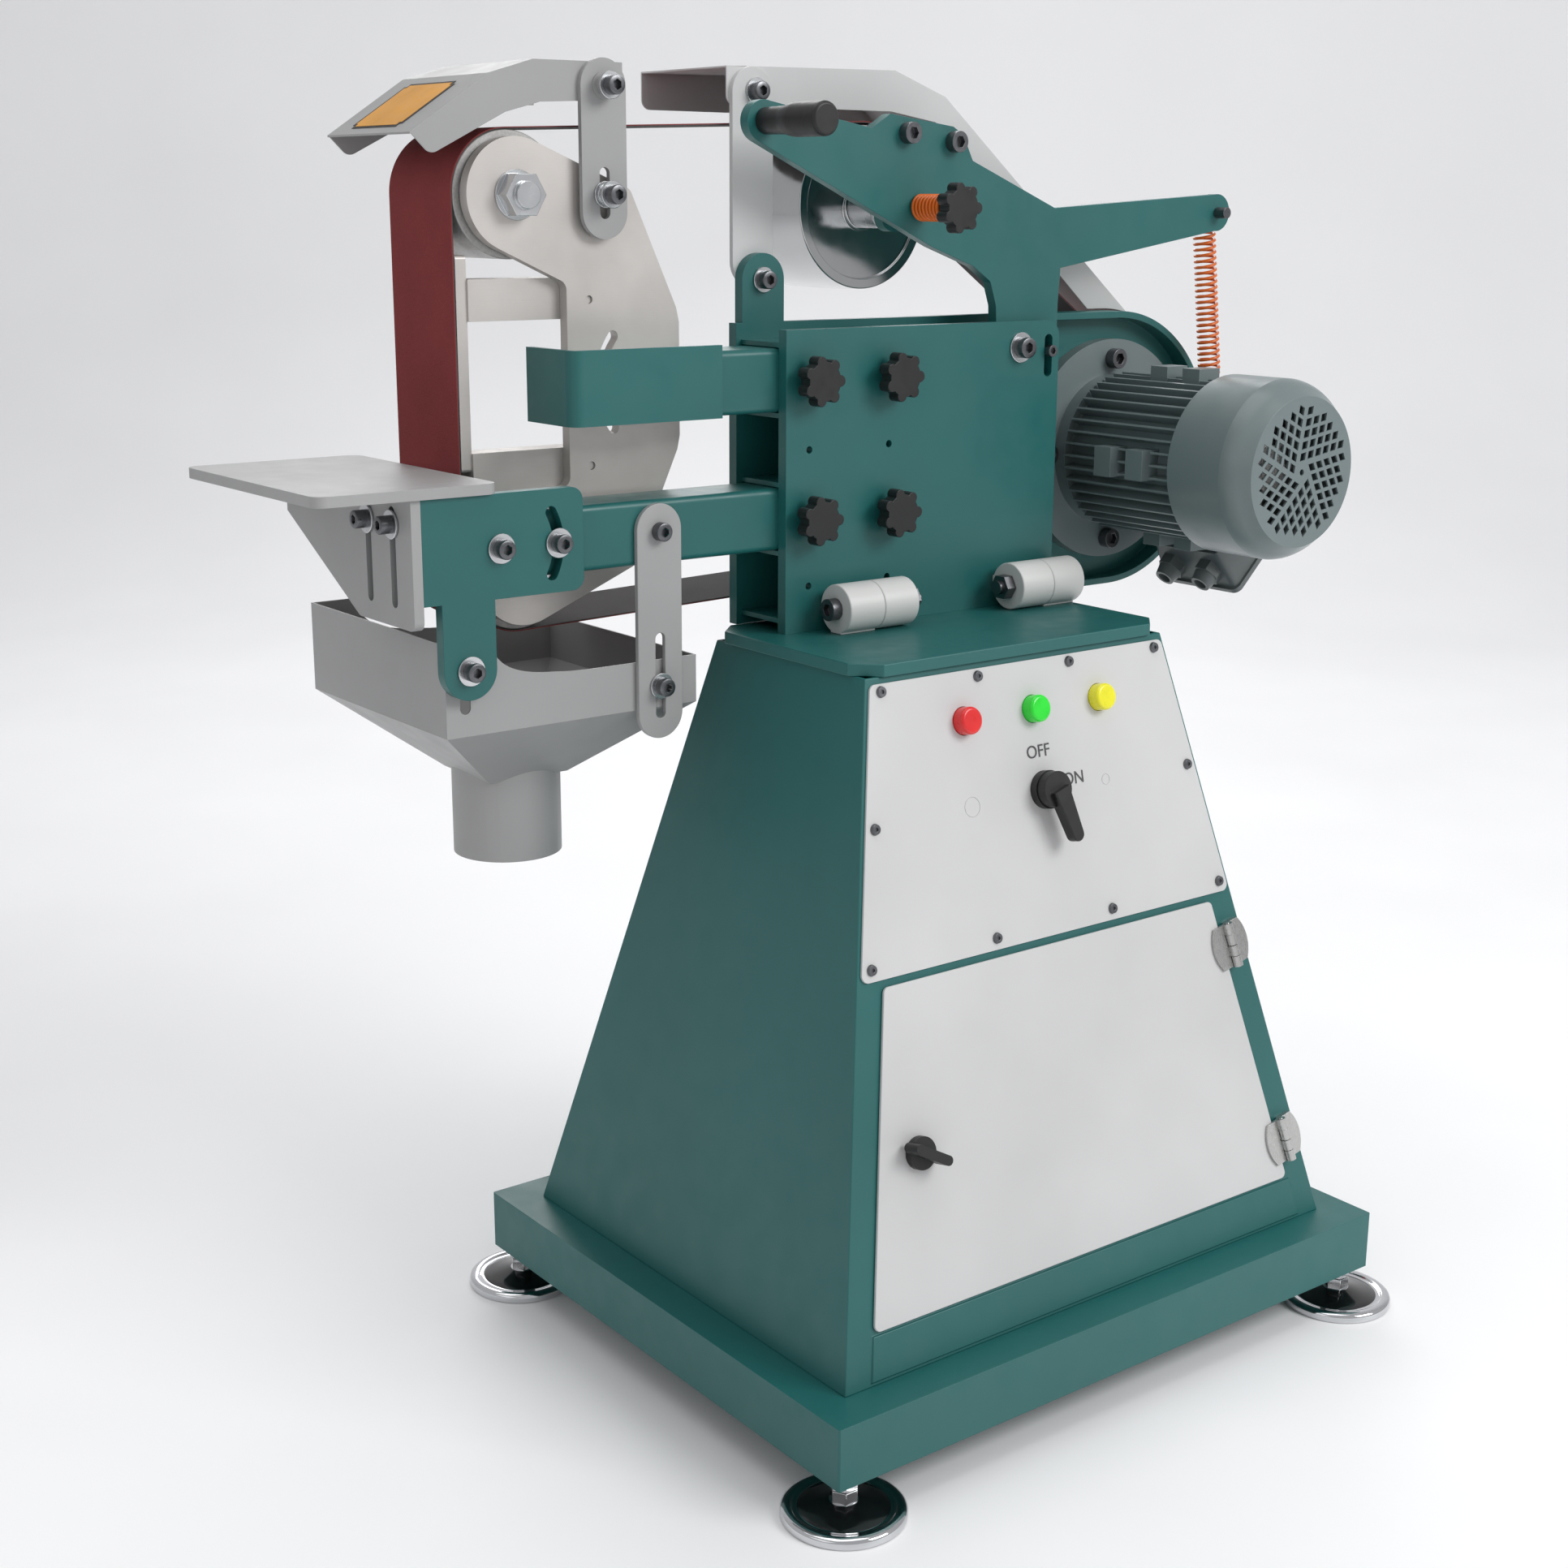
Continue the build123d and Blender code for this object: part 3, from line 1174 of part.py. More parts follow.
wheels = {
    "top": (Vector(contact_x, contact_top_z), contact_r),
    "track": (Vector(track_x, track_z), track_r),
    "drive": (Vector(motor_x, motor_z), drive_r),
    "bottom": (Vector(contact_x, contact_bottom_z), contact_r),
}
belt_in, belt_out = belt_gap, belt_gap + belt_t


def leaving_angle(a, b):
    """Angle of the outward normal of the belt's run from wheel a to wheel b, in degrees."""
    (ca, ra), (cb, rb) = wheels[a], wheels[b]
    gap = cb - ca
    return degrees(atan2(gap.Y, gap.X) + acos((ra - rb) / gap.length))


def wrap(name, start, end):
    """Belt round one wheel, clockwise from the start angle to the end angle."""
    centre, r = wheels[name]
    with BuildLine() as outline:
        inner = CenterArc((centre.X, centre.Y), r + belt_in, start, end - start)
        outer = CenterArc((centre.X, centre.Y), r + belt_out, start, end - start)
        Line(inner @ 0, outer @ 0)
        Line(inner @ 1, outer @ 1)
    make_face(outline.edges())


def run(a, b):
    """Straight run of belt from wheel a to wheel b."""
    angle = radians(leaving_angle(a, b))
    normal = Vector(cos(angle), sin(angle))
    (ca, ra), (cb, rb) = wheels[a], wheels[b]
    corners = [ca + normal * (ra + belt_in), ca + normal * (ra + belt_out)]
    corners += [cb + normal * (rb + belt_out), cb + normal * (rb + belt_in)]
    Polygon(*[(c.X, c.Y) for c in corners], align=None)


to_track = leaving_angle("top", "track")
to_drive = leaving_angle("track", "drive")
to_bottom = leaving_angle("drive", "bottom")

with BuildPart() as belt_front:
    with BuildSketch(across(belt_y1)):
        wrap("top", 180, to_track)
        run("bottom", "top")
        wrap("bottom", to_bottom, -180)
    plate(belt_y0, belt_y1)
save(belt_front, "belt_front")

with BuildPart() as belt_track_wrap:
    with BuildSketch(across(belt_y1)):
        wrap("track", to_track, to_drive)
    plate(belt_y0, belt_y1)
save(belt_track_wrap, "belt_track_wrap")

with BuildPart() as belt_runs:
    with BuildSketch(across(belt_y1)):
        run("top", "track")
        run("track", "drive")
        wrap("drive", to_drive, to_bottom)
        run("drive", "bottom")
    plate(belt_y0, belt_y1)
save(belt_runs, "belt_runs")

loop = 0
for a, b in (("top", "track"), ("track", "drive"), ("drive", "bottom"), ("bottom", "top")):
    (ca, ra), (cb, rb) = wheels[a], wheels[b]
    loop += ((cb - ca).length ** 2 - (ra - rb) ** 2) ** 0.5
arcs = ((180 - to_track, contact_r), (to_track - to_drive, track_r), (to_drive - to_bottom, drive_r))
arcs += ((to_bottom + 180, contact_r),)
loop += sum(radians(turn) * (r + belt_in + belt_t / 2) for turn, r in arcs)
print("belt loop, mm:", round(loop))
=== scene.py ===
import json
import math

import bmesh
import bpy
from mathutils import Matrix, Vector


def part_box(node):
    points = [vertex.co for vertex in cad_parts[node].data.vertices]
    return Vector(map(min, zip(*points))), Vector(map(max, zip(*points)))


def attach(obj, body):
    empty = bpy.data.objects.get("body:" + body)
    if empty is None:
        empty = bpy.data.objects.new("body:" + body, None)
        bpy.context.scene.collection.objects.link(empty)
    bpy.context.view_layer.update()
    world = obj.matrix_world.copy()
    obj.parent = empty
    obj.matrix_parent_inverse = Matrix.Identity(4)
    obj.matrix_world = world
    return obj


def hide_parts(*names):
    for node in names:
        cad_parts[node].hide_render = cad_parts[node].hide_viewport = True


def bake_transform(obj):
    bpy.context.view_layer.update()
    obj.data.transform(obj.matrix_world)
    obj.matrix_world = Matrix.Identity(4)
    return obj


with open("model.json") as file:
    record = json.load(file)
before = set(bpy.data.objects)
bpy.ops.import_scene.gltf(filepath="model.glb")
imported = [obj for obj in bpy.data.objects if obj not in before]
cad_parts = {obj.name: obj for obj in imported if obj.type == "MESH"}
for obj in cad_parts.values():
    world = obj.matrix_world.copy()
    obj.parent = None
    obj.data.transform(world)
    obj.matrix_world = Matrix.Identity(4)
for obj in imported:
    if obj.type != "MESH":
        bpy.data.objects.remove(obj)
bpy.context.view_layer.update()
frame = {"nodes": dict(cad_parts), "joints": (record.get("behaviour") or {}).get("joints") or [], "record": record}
joints = {j["name"]: j for j in frame["joints"]}
body_of_node = {n: b for b, ns in frame["record"]["behaviour"]["bodies"].items() for n in ns}
MM = 0.001
X, Y, Z = Vector((1, 0, 0)), Vector((0, 1, 0)), Vector((0, 0, 1))


# ---------------------------------------------------------------- materials

def srgb(r, g, b):
    """Linear colour from sRGB values of 0 to 255."""
    def channel(c):
        c /= 255
        return c / 12.92 if c <= 0.04045 else ((c + 0.055) / 1.055) ** 2.4
    return (channel(r), channel(g), channel(b), 1.0)


def shaded(colour, factor):
    """The colour made lighter or darker by a factor."""
    return tuple(min(1.0, c * factor) for c in colour[:3]) + (1.0,)


class Nodes:
    """Short names for building one material's node tree."""

    def __init__(self, name, metallic, roughness, **sockets):
        self.material = bpy.data.materials.new(name)
        self.material.use_nodes = True
        self.tree = self.material.node_tree
        self.shader = self.tree.nodes["Principled BSDF"]
        self.shader.inputs["Metallic"].default_value = metallic
        self.shader.inputs["Roughness"].default_value = roughness
        for socket, value in sockets.items():
            self.shader.inputs[socket.replace("_", " ")].default_value = value
        self.place = self.tree.nodes.new("ShaderNodeTexCoord").outputs["Object"]

    def link(self, a, b):
        self.tree.links.new(a, b)

    def stretched(self, scale):
        mapping = self.tree.nodes.new("ShaderNodeMapping")
        mapping.inputs["Scale"].default_value = scale
        self.link(self.place, mapping.inputs["Vector"])
        return mapping.outputs["Vector"]

    def noise(self, scale, detail=4.0, rough=0.5, vector=None):
        node = self.tree.nodes.new("ShaderNodeTexNoise")
        node.inputs["Scale"].default_value = scale
        node.inputs["Detail"].default_value = detail
        node.inputs["Roughness"].default_value = rough
        self.link(vector or self.place, node.inputs["Vector"])
        return node.outputs["Fac"]

    def cells(self, scale):
        node = self.tree.nodes.new("ShaderNodeTexVoronoi")
        node.inputs["Scale"].default_value = scale
        self.link(self.place, node.inputs["Vector"])
        return node.outputs["Distance"]

    def ramp(self, factor, stops):
        node = self.tree.nodes.new("ShaderNodeValToRGB")
        elements = node.color_ramp.elements
        while len(elements) < len(stops):
            elements.new(0.5)
        for element, (position, colour) in zip(elements, stops):
            element.position = position
            element.color = colour
        self.link(factor, node.inputs["Fac"])
        return node.outputs["Color"]

    def grey_ramp(self, factor, low, high):
        return self.ramp(factor, [(0.3, (low, low, low, 1)), (0.7, (high, high, high, 1))])

    def bump(self, height, distance, strength):
        node = self.tree.nodes.new("ShaderNodeBump")
        node.inputs["Strength"].default_value = strength
        node.inputs["Distance"].default_value = distance
        self.link(height, node.inputs["Height"])
        return node.outputs["Normal"]

    def colour(self, socket):
        self.link(socket, self.shader.inputs["Base Color"])

    def roughness(self, socket):
        self.link(socket, self.shader.inputs["Roughness"])

    def normal(self, socket):
        self.link(socket, self.shader.inputs["Normal"])


def powder_coat(name, colour, rough=0.42, grain=900.0, peel=0.00006):
    """Painted steel: faint cloudiness, an orange-peel skin and slightly uneven gloss."""
    m = Nodes(name, 0.0, rough, Coat_Weight=0.08, Coat_Roughness=0.3)
    m.colour(m.ramp(m.noise(5.0, 3), [(0.3, shaded(colour, 0.93)), (0.7, shaded(colour, 1.06))]))
    m.roughness(m.grey_ramp(m.noise(38.0, 5), rough - 0.06, rough + 0.07))
    m.normal(m.bump(m.noise(grain, 2), peel, 0.5))
    return m.material


def brushed_metal(name, colour, rough, along=(6.0, 6.0, 260.0), metallic=1.0):
    """Ground or brushed steel with fine lines across one axis."""
    m = Nodes(name, metallic, rough, Anisotropic=0.3)
    lines = m.noise(9.0, 6, 0.65, m.stretched(along))
    m.colour(m.ramp(m.noise(14.0, 4), [(0.3, shaded(colour, 0.88)), (0.7, shaded(colour, 1.05))]))
    m.roughness(m.grey_ramp(lines, rough - 0.08, rough + 0.12))
    m.normal(m.bump(lines, 0.00003, 0.5))
    return m.material


def polished(name, colour, rough):
    """Chrome with faint smears."""
    m = Nodes(name, 1.0, rough)
    m.colour(m.ramp(m.noise(20.0, 3), [(0.35, shaded(colour, 0.94)), (0.65, colour)]))
    m.roughness(m.grey_ramp(m.noise(55.0, 6), rough, rough + 0.07))
    return m.material


def moulded(name, colour, rough, grain=1400.0, depth=0.00003, coat=0.0):
    """Moulded plastic with a fine grain."""
    m = Nodes(name, 0.0, rough, Coat_Weight=coat, Coat_Roughness=0.12)
    m.colour(m.ramp(m.noise(30.0, 3), [(0.3, shaded(colour, 0.9)), (0.7, shaded(colour, 1.1))]))
    m.roughness(m.grey_ramp(m.noise(120.0, 4), rough - 0.05, rough + 0.08))
    m.normal(m.bump(m.noise(grain, 2), depth, 0.4))
    return m.material


def cast_metal(name, colour, rough=0.45):
    """Machined casting: fine tool marks and small specks."""
    m = Nodes(name, 0.5, rough)
    specks = m.noise(420.0, 5, 0.6)
    m.colour(m.ramp(specks, [(0.3, shaded(colour, 0.82)), (0.7, shaded(colour, 1.08))]))
    m.roughness(m.grey_ramp(m.noise(60.0, 5), rough - 0.08, rough + 0.12))
    m.normal(m.bump(specks, 0.00005, 0.5))
    return m.material


def abrasive(name, colour):
    """Abrasive cloth: packed grains of uneven shade and a rough, dull surface."""
    m = Nodes(name, 0.0, 0.85, Specular_IOR_Level=0.25)
    grains = m.cells(1500.0)
    patches = m.noise(22.0, 5)
    mix = m.tree.nodes.new("ShaderNodeMix")
    mix.data_type = "RGBA"
    mix.inputs["Factor"].default_value = 0.35
    grain_shade = m.ramp(grains, [(0.05, shaded(colour, 1.35)), (0.6, shaded(colour, 0.6))])
    m.link(m.ramp(patches, [(0.3, shaded(colour, 0.9)), (0.7, shaded(colour, 1.1))]), mix.inputs["A"])
    m.link(grain_shade, mix.inputs["B"])
    m.colour(mix.outputs["Result"])
    m.normal(m.bump(grains, 0.00015, 0.6))
    return m.material


TEAL = srgb(26, 95, 93)
materials = {
    "teal": powder_coat("teal_powder_coat", TEAL),
    "light": powder_coat("light_grey_coat", srgb(198, 198, 198), 0.5, 1100.0, 0.00004),
    "sheet": powder_coat("sheet_grey_coat", srgb(158, 158, 158), 0.46, 1100.0, 0.00004),
    "label": moulded("amber_label", srgb(214, 150, 44), 0.5),
    "label_ink": moulded("label_ink", srgb(38, 34, 30), 0.55),
    "ground": brushed_metal("ground_steel", srgb(204, 199, 195), 0.48, metallic=0.6),
    "barrel": powder_coat("barrel_enamel", srgb(206, 206, 204), 0.4),
    "motor": powder_coat("motor_enamel", srgb(110, 122, 123), 0.34, 700.0, 0.00009),
    # the motor's grey enamel made darker for the terminal box: painted shade for the shadow the box sits in
    "motor_painted_shade": powder_coat("motor_enamel_painted_shade", srgb(92, 98, 99), 0.42, 700.0, 0.00009),
    "bolt": brushed_metal("blackened_steel", srgb(112, 113, 116), 0.34, (30.0, 30.0, 30.0)),
    "washer": polished("zinc_plate", srgb(206, 208, 210), 0.22),
    "satin": brushed_metal("satin_steel", srgb(190, 190, 188), 0.28, (120.0, 120.0, 8.0)),
    "chrome": polished("chrome", srgb(214, 215, 217), 0.05),
    "foot_black": moulded("foot_black", srgb(14, 14, 15), 0.12, 1400.0, 0.00001, 0.6),
    "cast": cast_metal("machined_casting", srgb(182, 181, 179)),
    "mirror_face": polished("turned_steel", srgb(196, 197, 198), 0.12),
    "black": moulded("black_phenolic", srgb(24, 24, 25), 0.42),
    "spring": powder_coat("spring_enamel", srgb(214, 100, 14), 0.3),
    "belt": abrasive("abrasive_cloth", srgb(134, 56, 57)),
    "belt_back": abrasive("belt_backing", srgb(84, 80, 80)),
    "red": moulded("red_button", srgb(222, 30, 30), 0.3, 1400.0, 0.00001, 0.3),
    "green": moulded("green_button", srgb(28, 216, 44), 0.3, 1400.0, 0.00001, 0.3),
    "yellow": moulded("yellow_button", srgb(228, 222, 34), 0.3, 1400.0, 0.00001, 0.3),
    "ink": moulded("panel_ink", srgb(72, 72, 74), 0.6),
}


# ---------------------------------------------------------------- pieces made from the CAD nodes

def smooth_by_angle(mesh, degrees):
    """Shade smooth, with sharp edges where faces meet at more than an angle."""
    mesh.shade_smooth()
    mesh.set_sharp_from_angle(angle=math.radians(degrees))


def finish_piece(obj, body, material_names):
    """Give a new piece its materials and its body."""
    obj.data.materials.clear()
    for name in material_names:
        obj.data.materials.append(materials[name])
    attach(obj, body)


def link_mesh(name, mesh):
    """A new object for the mesh, in the scene."""
    obj = bpy.data.objects.new(name, mesh)
    bpy.context.scene.collection.objects.link(obj)
    return obj


FLAT_DEGREES, BEVEL_DEGREES, FOLD_DEGREES = 0.5, 35, 20


def eased_copy(node, width):
    """Copy of a CAD node with its sharp edges rounded and its flat folds kept flat."""
    mesh = frame["nodes"][node].data.copy()
    mesh.name = "fine_" + node
    work = bmesh.new()
    work.from_mesh(mesh)
    bmesh.ops.remove_doubles(work, verts=work.verts, dist=1e-6)
    bmesh.ops.dissolve_limit(
        work, angle_limit=math.radians(FLAT_DEGREES), verts=work.verts, edges=work.edges,
        delimit={"NORMAL"},
    )
    work.to_mesh(mesh)
    work.free()
    obj = link_mesh("fine_" + node, mesh)
    bevel = obj.modifiers.new("ease", "BEVEL")
    bevel.width = width
    bevel.segments = 2
    bevel.limit_method = "ANGLE"
    bevel.angle_limit = math.radians(BEVEL_DEGREES)
    bevel.use_clamp_overlap = True
    even = obj.modifiers.new("even", "WEIGHTED_NORMAL")
    even.weight = 100
    even.keep_sharp = True
    smooth_by_angle(mesh, FOLD_DEGREES)
    evaluated = obj.evaluated_get(bpy.context.evaluated_depsgraph_get())
    fine = bpy.data.meshes.new_from_object(evaluated)
    obj.modifiers.clear()
    obj.data = fine
    bpy.data.meshes.remove(mesh)
    return obj


def dress(node, material_name, width):
    """Show a CAD node as a copy with eased edges and its own material."""
    obj = eased_copy(node, width)
    finish_piece(obj, body_of_node[node], [material_name])
    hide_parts(node)


# each CAD node's material, and how far its edges are eased in mm
LOOKS = {
    "plinth": ("teal", 1.0), "cabinet_shell": ("teal", 0.8), "base_plate": ("teal", 0.8),
    "near_plate": ("teal", 0.6), "far_plate": ("teal", 0.6), "slot_webs": ("teal", 0.3),
    "upper_arm": ("teal", 0.6), "lower_arm": ("teal", 0.6), "tension_lever": ("teal", 0.8),
    "tracking_plate": ("teal", 0.6), "rest_bracket": ("teal", 0.6), "motor_plate": ("teal", 0.6),
    "control_panel": ("light", 0.4), "door_panel": ("light", 0.5), "hopper": ("sheet", 0.3),
    "rear_guard": ("light", 0.3), "front_guard": ("sheet", 0.3), "work_table": ("sheet", 0.8),
    "hopper_strap": ("sheet", 0.5), "platen_plate": ("ground", 0.5), "platen_frame": ("ground", 0.5),
    "base_barrels": ("barrel", 0.8), "head_barrels": ("barrel", 0.8),
    # the terminal box takes the darker copy of the motor enamel, which holds painted shade
    "motor_frame": ("motor", 0.5), "fan_cover": ("motor", 0.5), "terminal_box": ("motor_painted_shade", 0.6),
    "switch_bodies": ("black", 0.5), "cabinet_screws": ("bolt", 0.3), "head_bolts": ("bolt", 0.4),
    "lever_bolts": ("bolt", 0.4), "rest_screws": ("bolt", 0.4), "contact_axles": ("washer", 0.4),
    "tracking_axle": ("washer", 0.5),
    "door_hinge_frames": ("satin", 0.4), "door_hinge_leaves": ("satin", 0.4),
    "motor_rotor": ("satin", 0.4), "tracking_wheel": ("mirror_face", 0.8), "drive_wheel": ("cast", 0.8),
    "upper_contact_wheel": ("cast", 0.8), "lower_contact_wheel": ("cast", 0.8),
    "lever_grip": ("black", 0.6), "tracking_knob": ("black", 0.8), "clamp_knob_1": ("black", 0.8),
    "clamp_knob_2": ("black", 0.8), "clamp_knob_3": ("black", 0.8), "clamp_knob_4": ("black", 0.8),
    "door_latch": ("black", 0.6), "selector_lever": ("black", 0.8),
    "red_button": ("red", 0.6), "green_button": ("green", 0.6), "yellow_button": ("yellow", 0.6),
    "tracking_spring": ("spring", 0.0),
    "foot_front_left": ("chrome", 0.4), "foot_front_right": ("chrome", 0.4),
    "foot_rear_left": ("chrome", 0.4), "foot_rear_right": ("chrome", 0.4),
}
for node_name, (look, ease) in LOOKS.items():
    dress(node_name, look, ease * MM)


# ---------------------------------------------------------------- mesh helpers

def axis_matrix(origin, direction, up=None):
    """Matrix that puts local +Z along a direction at a place."""
    z_axis = Vector(direction).normalized()
    helper = Vector(up) if up is not None else (X if abs(z_axis.x) < 0.9 else Y)
    x_axis = (helper - z_axis * helper.dot(z_axis)).normalized()
    y_axis = z_axis.cross(x_axis)
    matrix = Matrix((x_axis, y_axis, z_axis)).transposed().to_4x4()
    matrix.translation = Vector(origin)
    return matrix


def lathe(work, profile, segments):
    """Revolve (radius, height, material) points about local Z; points on the axis close the form."""
    rings = []
    for radius, height, _ in profile:
        if radius < 1e-7:
            rings.append([work.verts.new((0, 0, height))])
            continue
        ring = []
        for i in range(segments):
            angle = 2 * math.pi * i / segments
            ring.append(work.verts.new((radius * math.cos(angle), radius * math.sin(angle), height)))
        rings.append(ring)
    for (lower, upper), (_, _, index) in zip(zip(rings, rings[1:]), profile):
        for i in range(segments):
            j = (i + 1) % segments
            corners = [lower[i % len(lower)], lower[j % len(lower)]]
            corners += [upper[j % len(upper)], upper[i % len(upper)]]
            unique = list(dict.fromkeys(corners))
            if len(unique) >= 3:
                work.faces.new(unique).material_index = index


def mesh_piece(name, work, matrix, body, material_names, angle=40):
    """Turn a bmesh into a piece that rides on a body."""
    bmesh.ops.recalc_face_normals(work, faces=work.faces)
    mesh = bpy.data.meshes.new(name)
    work.to_mesh(mesh)
    work.free()
    mesh.transform(matrix)
    obj = link_mesh(name, mesh)
    indices = [p.material_index for p in mesh.polygons]
    finish_piece(obj, body, material_names)
    mesh.polygons.foreach_set("material_index", indices)
    smooth_by_angle(mesh, angle)


# the pieces stand this much over the CAD screws that they cover
GROW = 0.0002
SCREW_R, SCREW_H = 0.007 + GROW, 0.008 + GROW
WASHER_R, WIDE_WASHER_R, WASHER_T = 0.010 + GROW, 0.011 + GROW, 0.0018
TABLE_SCREW_R, TABLE_SCREW_H, TABLE_WASHER_R = 0.0065 + GROW, 0.0095, 0.0105 + GROW
PIVOT_SCREW_R, PIVOT_SCREW_H, PIVOT_WASHER_R = 0.0085 + GROW, 0.009 + GROW, 0.0125 + GROW


def socket_screw(name, body, place, outward, head_r, head_h, washer_r=0.0):
    """Socket head cap screw with a chamfered head, a hexagon socket and an optional washer.
    place is where the head or its washer sits, outward points away from the clamped part."""
    work = bmesh.new()
    segments = 36
    base = WASHER_T if washer_r else 0.0
    if washer_r:
        lathe(work, [(0, 0, 1), (washer_r - 0.0003, 0, 1), (washer_r, 0.0003, 1),
                     (washer_r, WASHER_T - 0.0003, 1), (washer_r - 0.0004, WASHER_T, 1),
                     (head_r * 0.8, WASHER_T, 1)], segments)
    outline = [(head_r - 0.0004, base), (head_r, base + 0.0005), (head_r, base + head_h - 0.0009),
               (head_r - 0.0003, base + head_h - 0.0003), (head_r - 0.001, base + head_h)]
    rings = []
    for radius, height in outline:
        rings.append([
            work.verts.new((radius * math.cos(a), radius * math.sin(a), height))
            for a in (2 * math.pi * i / segments for i in range(segments))
        ])
    socket_r = head_r * 0.56
    for depth, scale in ((0.0, 1.0), (0.0004, 0.94), (head_h * 0.55, 0.94)):
        ring = []
        for i in range(segments):
            angle = 2 * math.pi * i / segments
            sector = (angle + math.pi / 6) % (math.pi / 3) - math.pi / 6
            radius = socket_r * scale * math.cos(math.pi / 6) / math.cos(sector)
            height = base + head_h - depth
            ring.append(work.verts.new((radius * math.cos(angle), radius * math.sin(angle), height)))
        rings.append(ring)
    for lower, upper in zip(rings, rings[1:]):
        for i in range(segments):
            j = (i + 1) % segments
            work.faces.new((lower[i], lower[j], upper[j], upper[i]))
    work.faces.new(rings[-1])
    work.faces.new(list(reversed(rings[0])))
    mesh_piece(name, work, axis_matrix(place, outward), body, ["bolt", "washer"], 30)


# ---------------------------------------------------------------- fasteners that stand over the CAD ones

def at_joint(name):
    return Vector(joints[name]["pos_m"])


near_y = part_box("near_plate")[0].y
arm_y0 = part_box("rest_bracket")[0].y
strap_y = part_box("hopper_strap")[0].y
guard_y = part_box("front_guard")[0].y
rest_pivot = at_joint("rest_tilt")
lever_pivot = at_joint("tension_swing")
toward_operator = -Y
# gaps under a washer that turns or slides on its plate
TURN_GAP, SLIDE_GAP, TABLE_GAP = 0.0002, 0.0003, 0.0004
REST_LOCK_SPACING = 0.049
HOPPER_SLOT_Z = 0.579
GUARD_SCREW_X, GUARD_ROOF_Z, GUARD_SLOT_Z = -0.260, 1.030, 0.951
LEG_SCREW_X, LEG_SCREW_Z = -0.422, 0.6125
TABLE_FLANGE_T, TABLE_SCREW_Z = 0.008, 0.721
LUG_X, LUG_Z, REAR_STRAP_Z = -0.111, 0.8855, 1.031

socket_screw("rest_pivot_screw", "rest_arm", (rest_pivot.x, arm_y0 - TURN_GAP, rest_pivot.z), toward_operator,
             SCREW_R, SCREW_H, WIDE_WASHER_R)
rest_lock_x = rest_pivot.x + REST_LOCK_SPACING
socket_screw("rest_lock_screw", "rest_arm", (rest_lock_x, arm_y0 - TURN_GAP, rest_pivot.z), toward_operator,
             SCREW_R, SCREW_H, WIDE_WASHER_R)
strap_x = sum(c.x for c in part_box("hopper_strap")) / 2
socket_screw("strap_top_screw", "rest_arm", (strap_x, strap_y, rest_pivot.z), toward_operator,
             SCREW_R, SCREW_H)
socket_screw("strap_slot_screw", "dust_hopper", (strap_x, strap_y - SLIDE_GAP, HOPPER_SLOT_Z),
             toward_operator, SCREW_R, SCREW_H, WASHER_R)
socket_screw("guard_roof_screw", "belt_guard", (GUARD_SCREW_X, guard_y, GUARD_ROOF_Z), toward_operator,
             SCREW_R, SCREW_H, WASHER_R)
socket_screw("guard_slot_screw", "platen", (GUARD_SCREW_X, guard_y - SLIDE_GAP, GUARD_SLOT_Z),
             toward_operator, SCREW_R, SCREW_H, WASHER_R)
socket_screw("leg_screw", "rest", (LEG_SCREW_X, arm_y0, LEG_SCREW_Z), toward_operator,
             SCREW_R, SCREW_H, WIDE_WASHER_R)
table_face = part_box("rest_bracket")[0].x - TABLE_FLANGE_T
for i, y in enumerate((0.068, 0.106)):
    socket_screw(f"table_screw_{i + 1}", "rest", (table_face - TABLE_GAP, y, TABLE_SCREW_Z), -X,
                 TABLE_SCREW_R, TABLE_SCREW_H, TABLE_WASHER_R)
far_near_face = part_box("far_plate")[0].y
socket_screw("lug_screw", "head", (LUG_X, far_near_face, LUG_Z), toward_operator,
             SCREW_R, SCREW_H, WASHER_R)
rear_strap_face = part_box("rear_guard")[0].y
socket_screw("rear_guard_screw", "head", (LUG_X, rear_strap_face, REAR_STRAP_Z), toward_operator,
             SCREW_R, SCREW_H, WASHER_R)
socket_screw("lever_pivot_screw", "head", (lever_pivot.x, near_y, lever_pivot.z), toward_operator,
             PIVOT_SCREW_R, PIVOT_SCREW_H, PIVOT_WASHER_R)


# ---------------------------------------------------------------- levelling feet

def foot_disc(corner):
    """Chromed rim with a step, and a black domed middle, over the CAD foot."""
    node = "foot_" + corner
    low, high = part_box(node)
    centre = (low + high) / 2
    work = bmesh.new()
    profile = [(0.0, 0.0001, 0), (0.0476, 0.0001, 0), (0.0479, 0.0006, 0), (0.04805, 0.0018, 0),
               (0.04805, 0.0048, 0), (0.0475, 0.0064, 0), (0.0462, 0.0075, 0), (0.0444, 0.0081, 0),
               (0.0408, 0.0084, 0), (0.0396, 0.0078, 0), (0.0388, 0.0071, 0), (0.0352, 0.0069, 1),
               (0.0345, 0.0072, 1), (0.030, 0.0083, 1), (0.022, 0.0099, 1), (0.014, 0.0122, 1),
               (0.0112, 0.0128, 0), (0.0104, 0.0131, 0), (0.0, 0.0131, 0)]
    lathe(work, profile, 96)
    mesh_piece("disc_" + node, work, Matrix.Translation((centre.x, centre.y, low.z)), node,
               ["chrome", "foot_black"])


for corner in ("front_left", "front_right", "rear_left", "rear_right"):
    foot_disc(corner)


# ---------------------------------------------------------------- belt

BELT_T, BELT_GAP = 0.0015, 0.0003
belt_y0, belt_y1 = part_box("belt_front")[0].y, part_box("belt_front")[1].y


def wheel(node, axle):
    low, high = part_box(node)
    return Vector((axle.x, axle.z)), (high.z - low.z) / 2


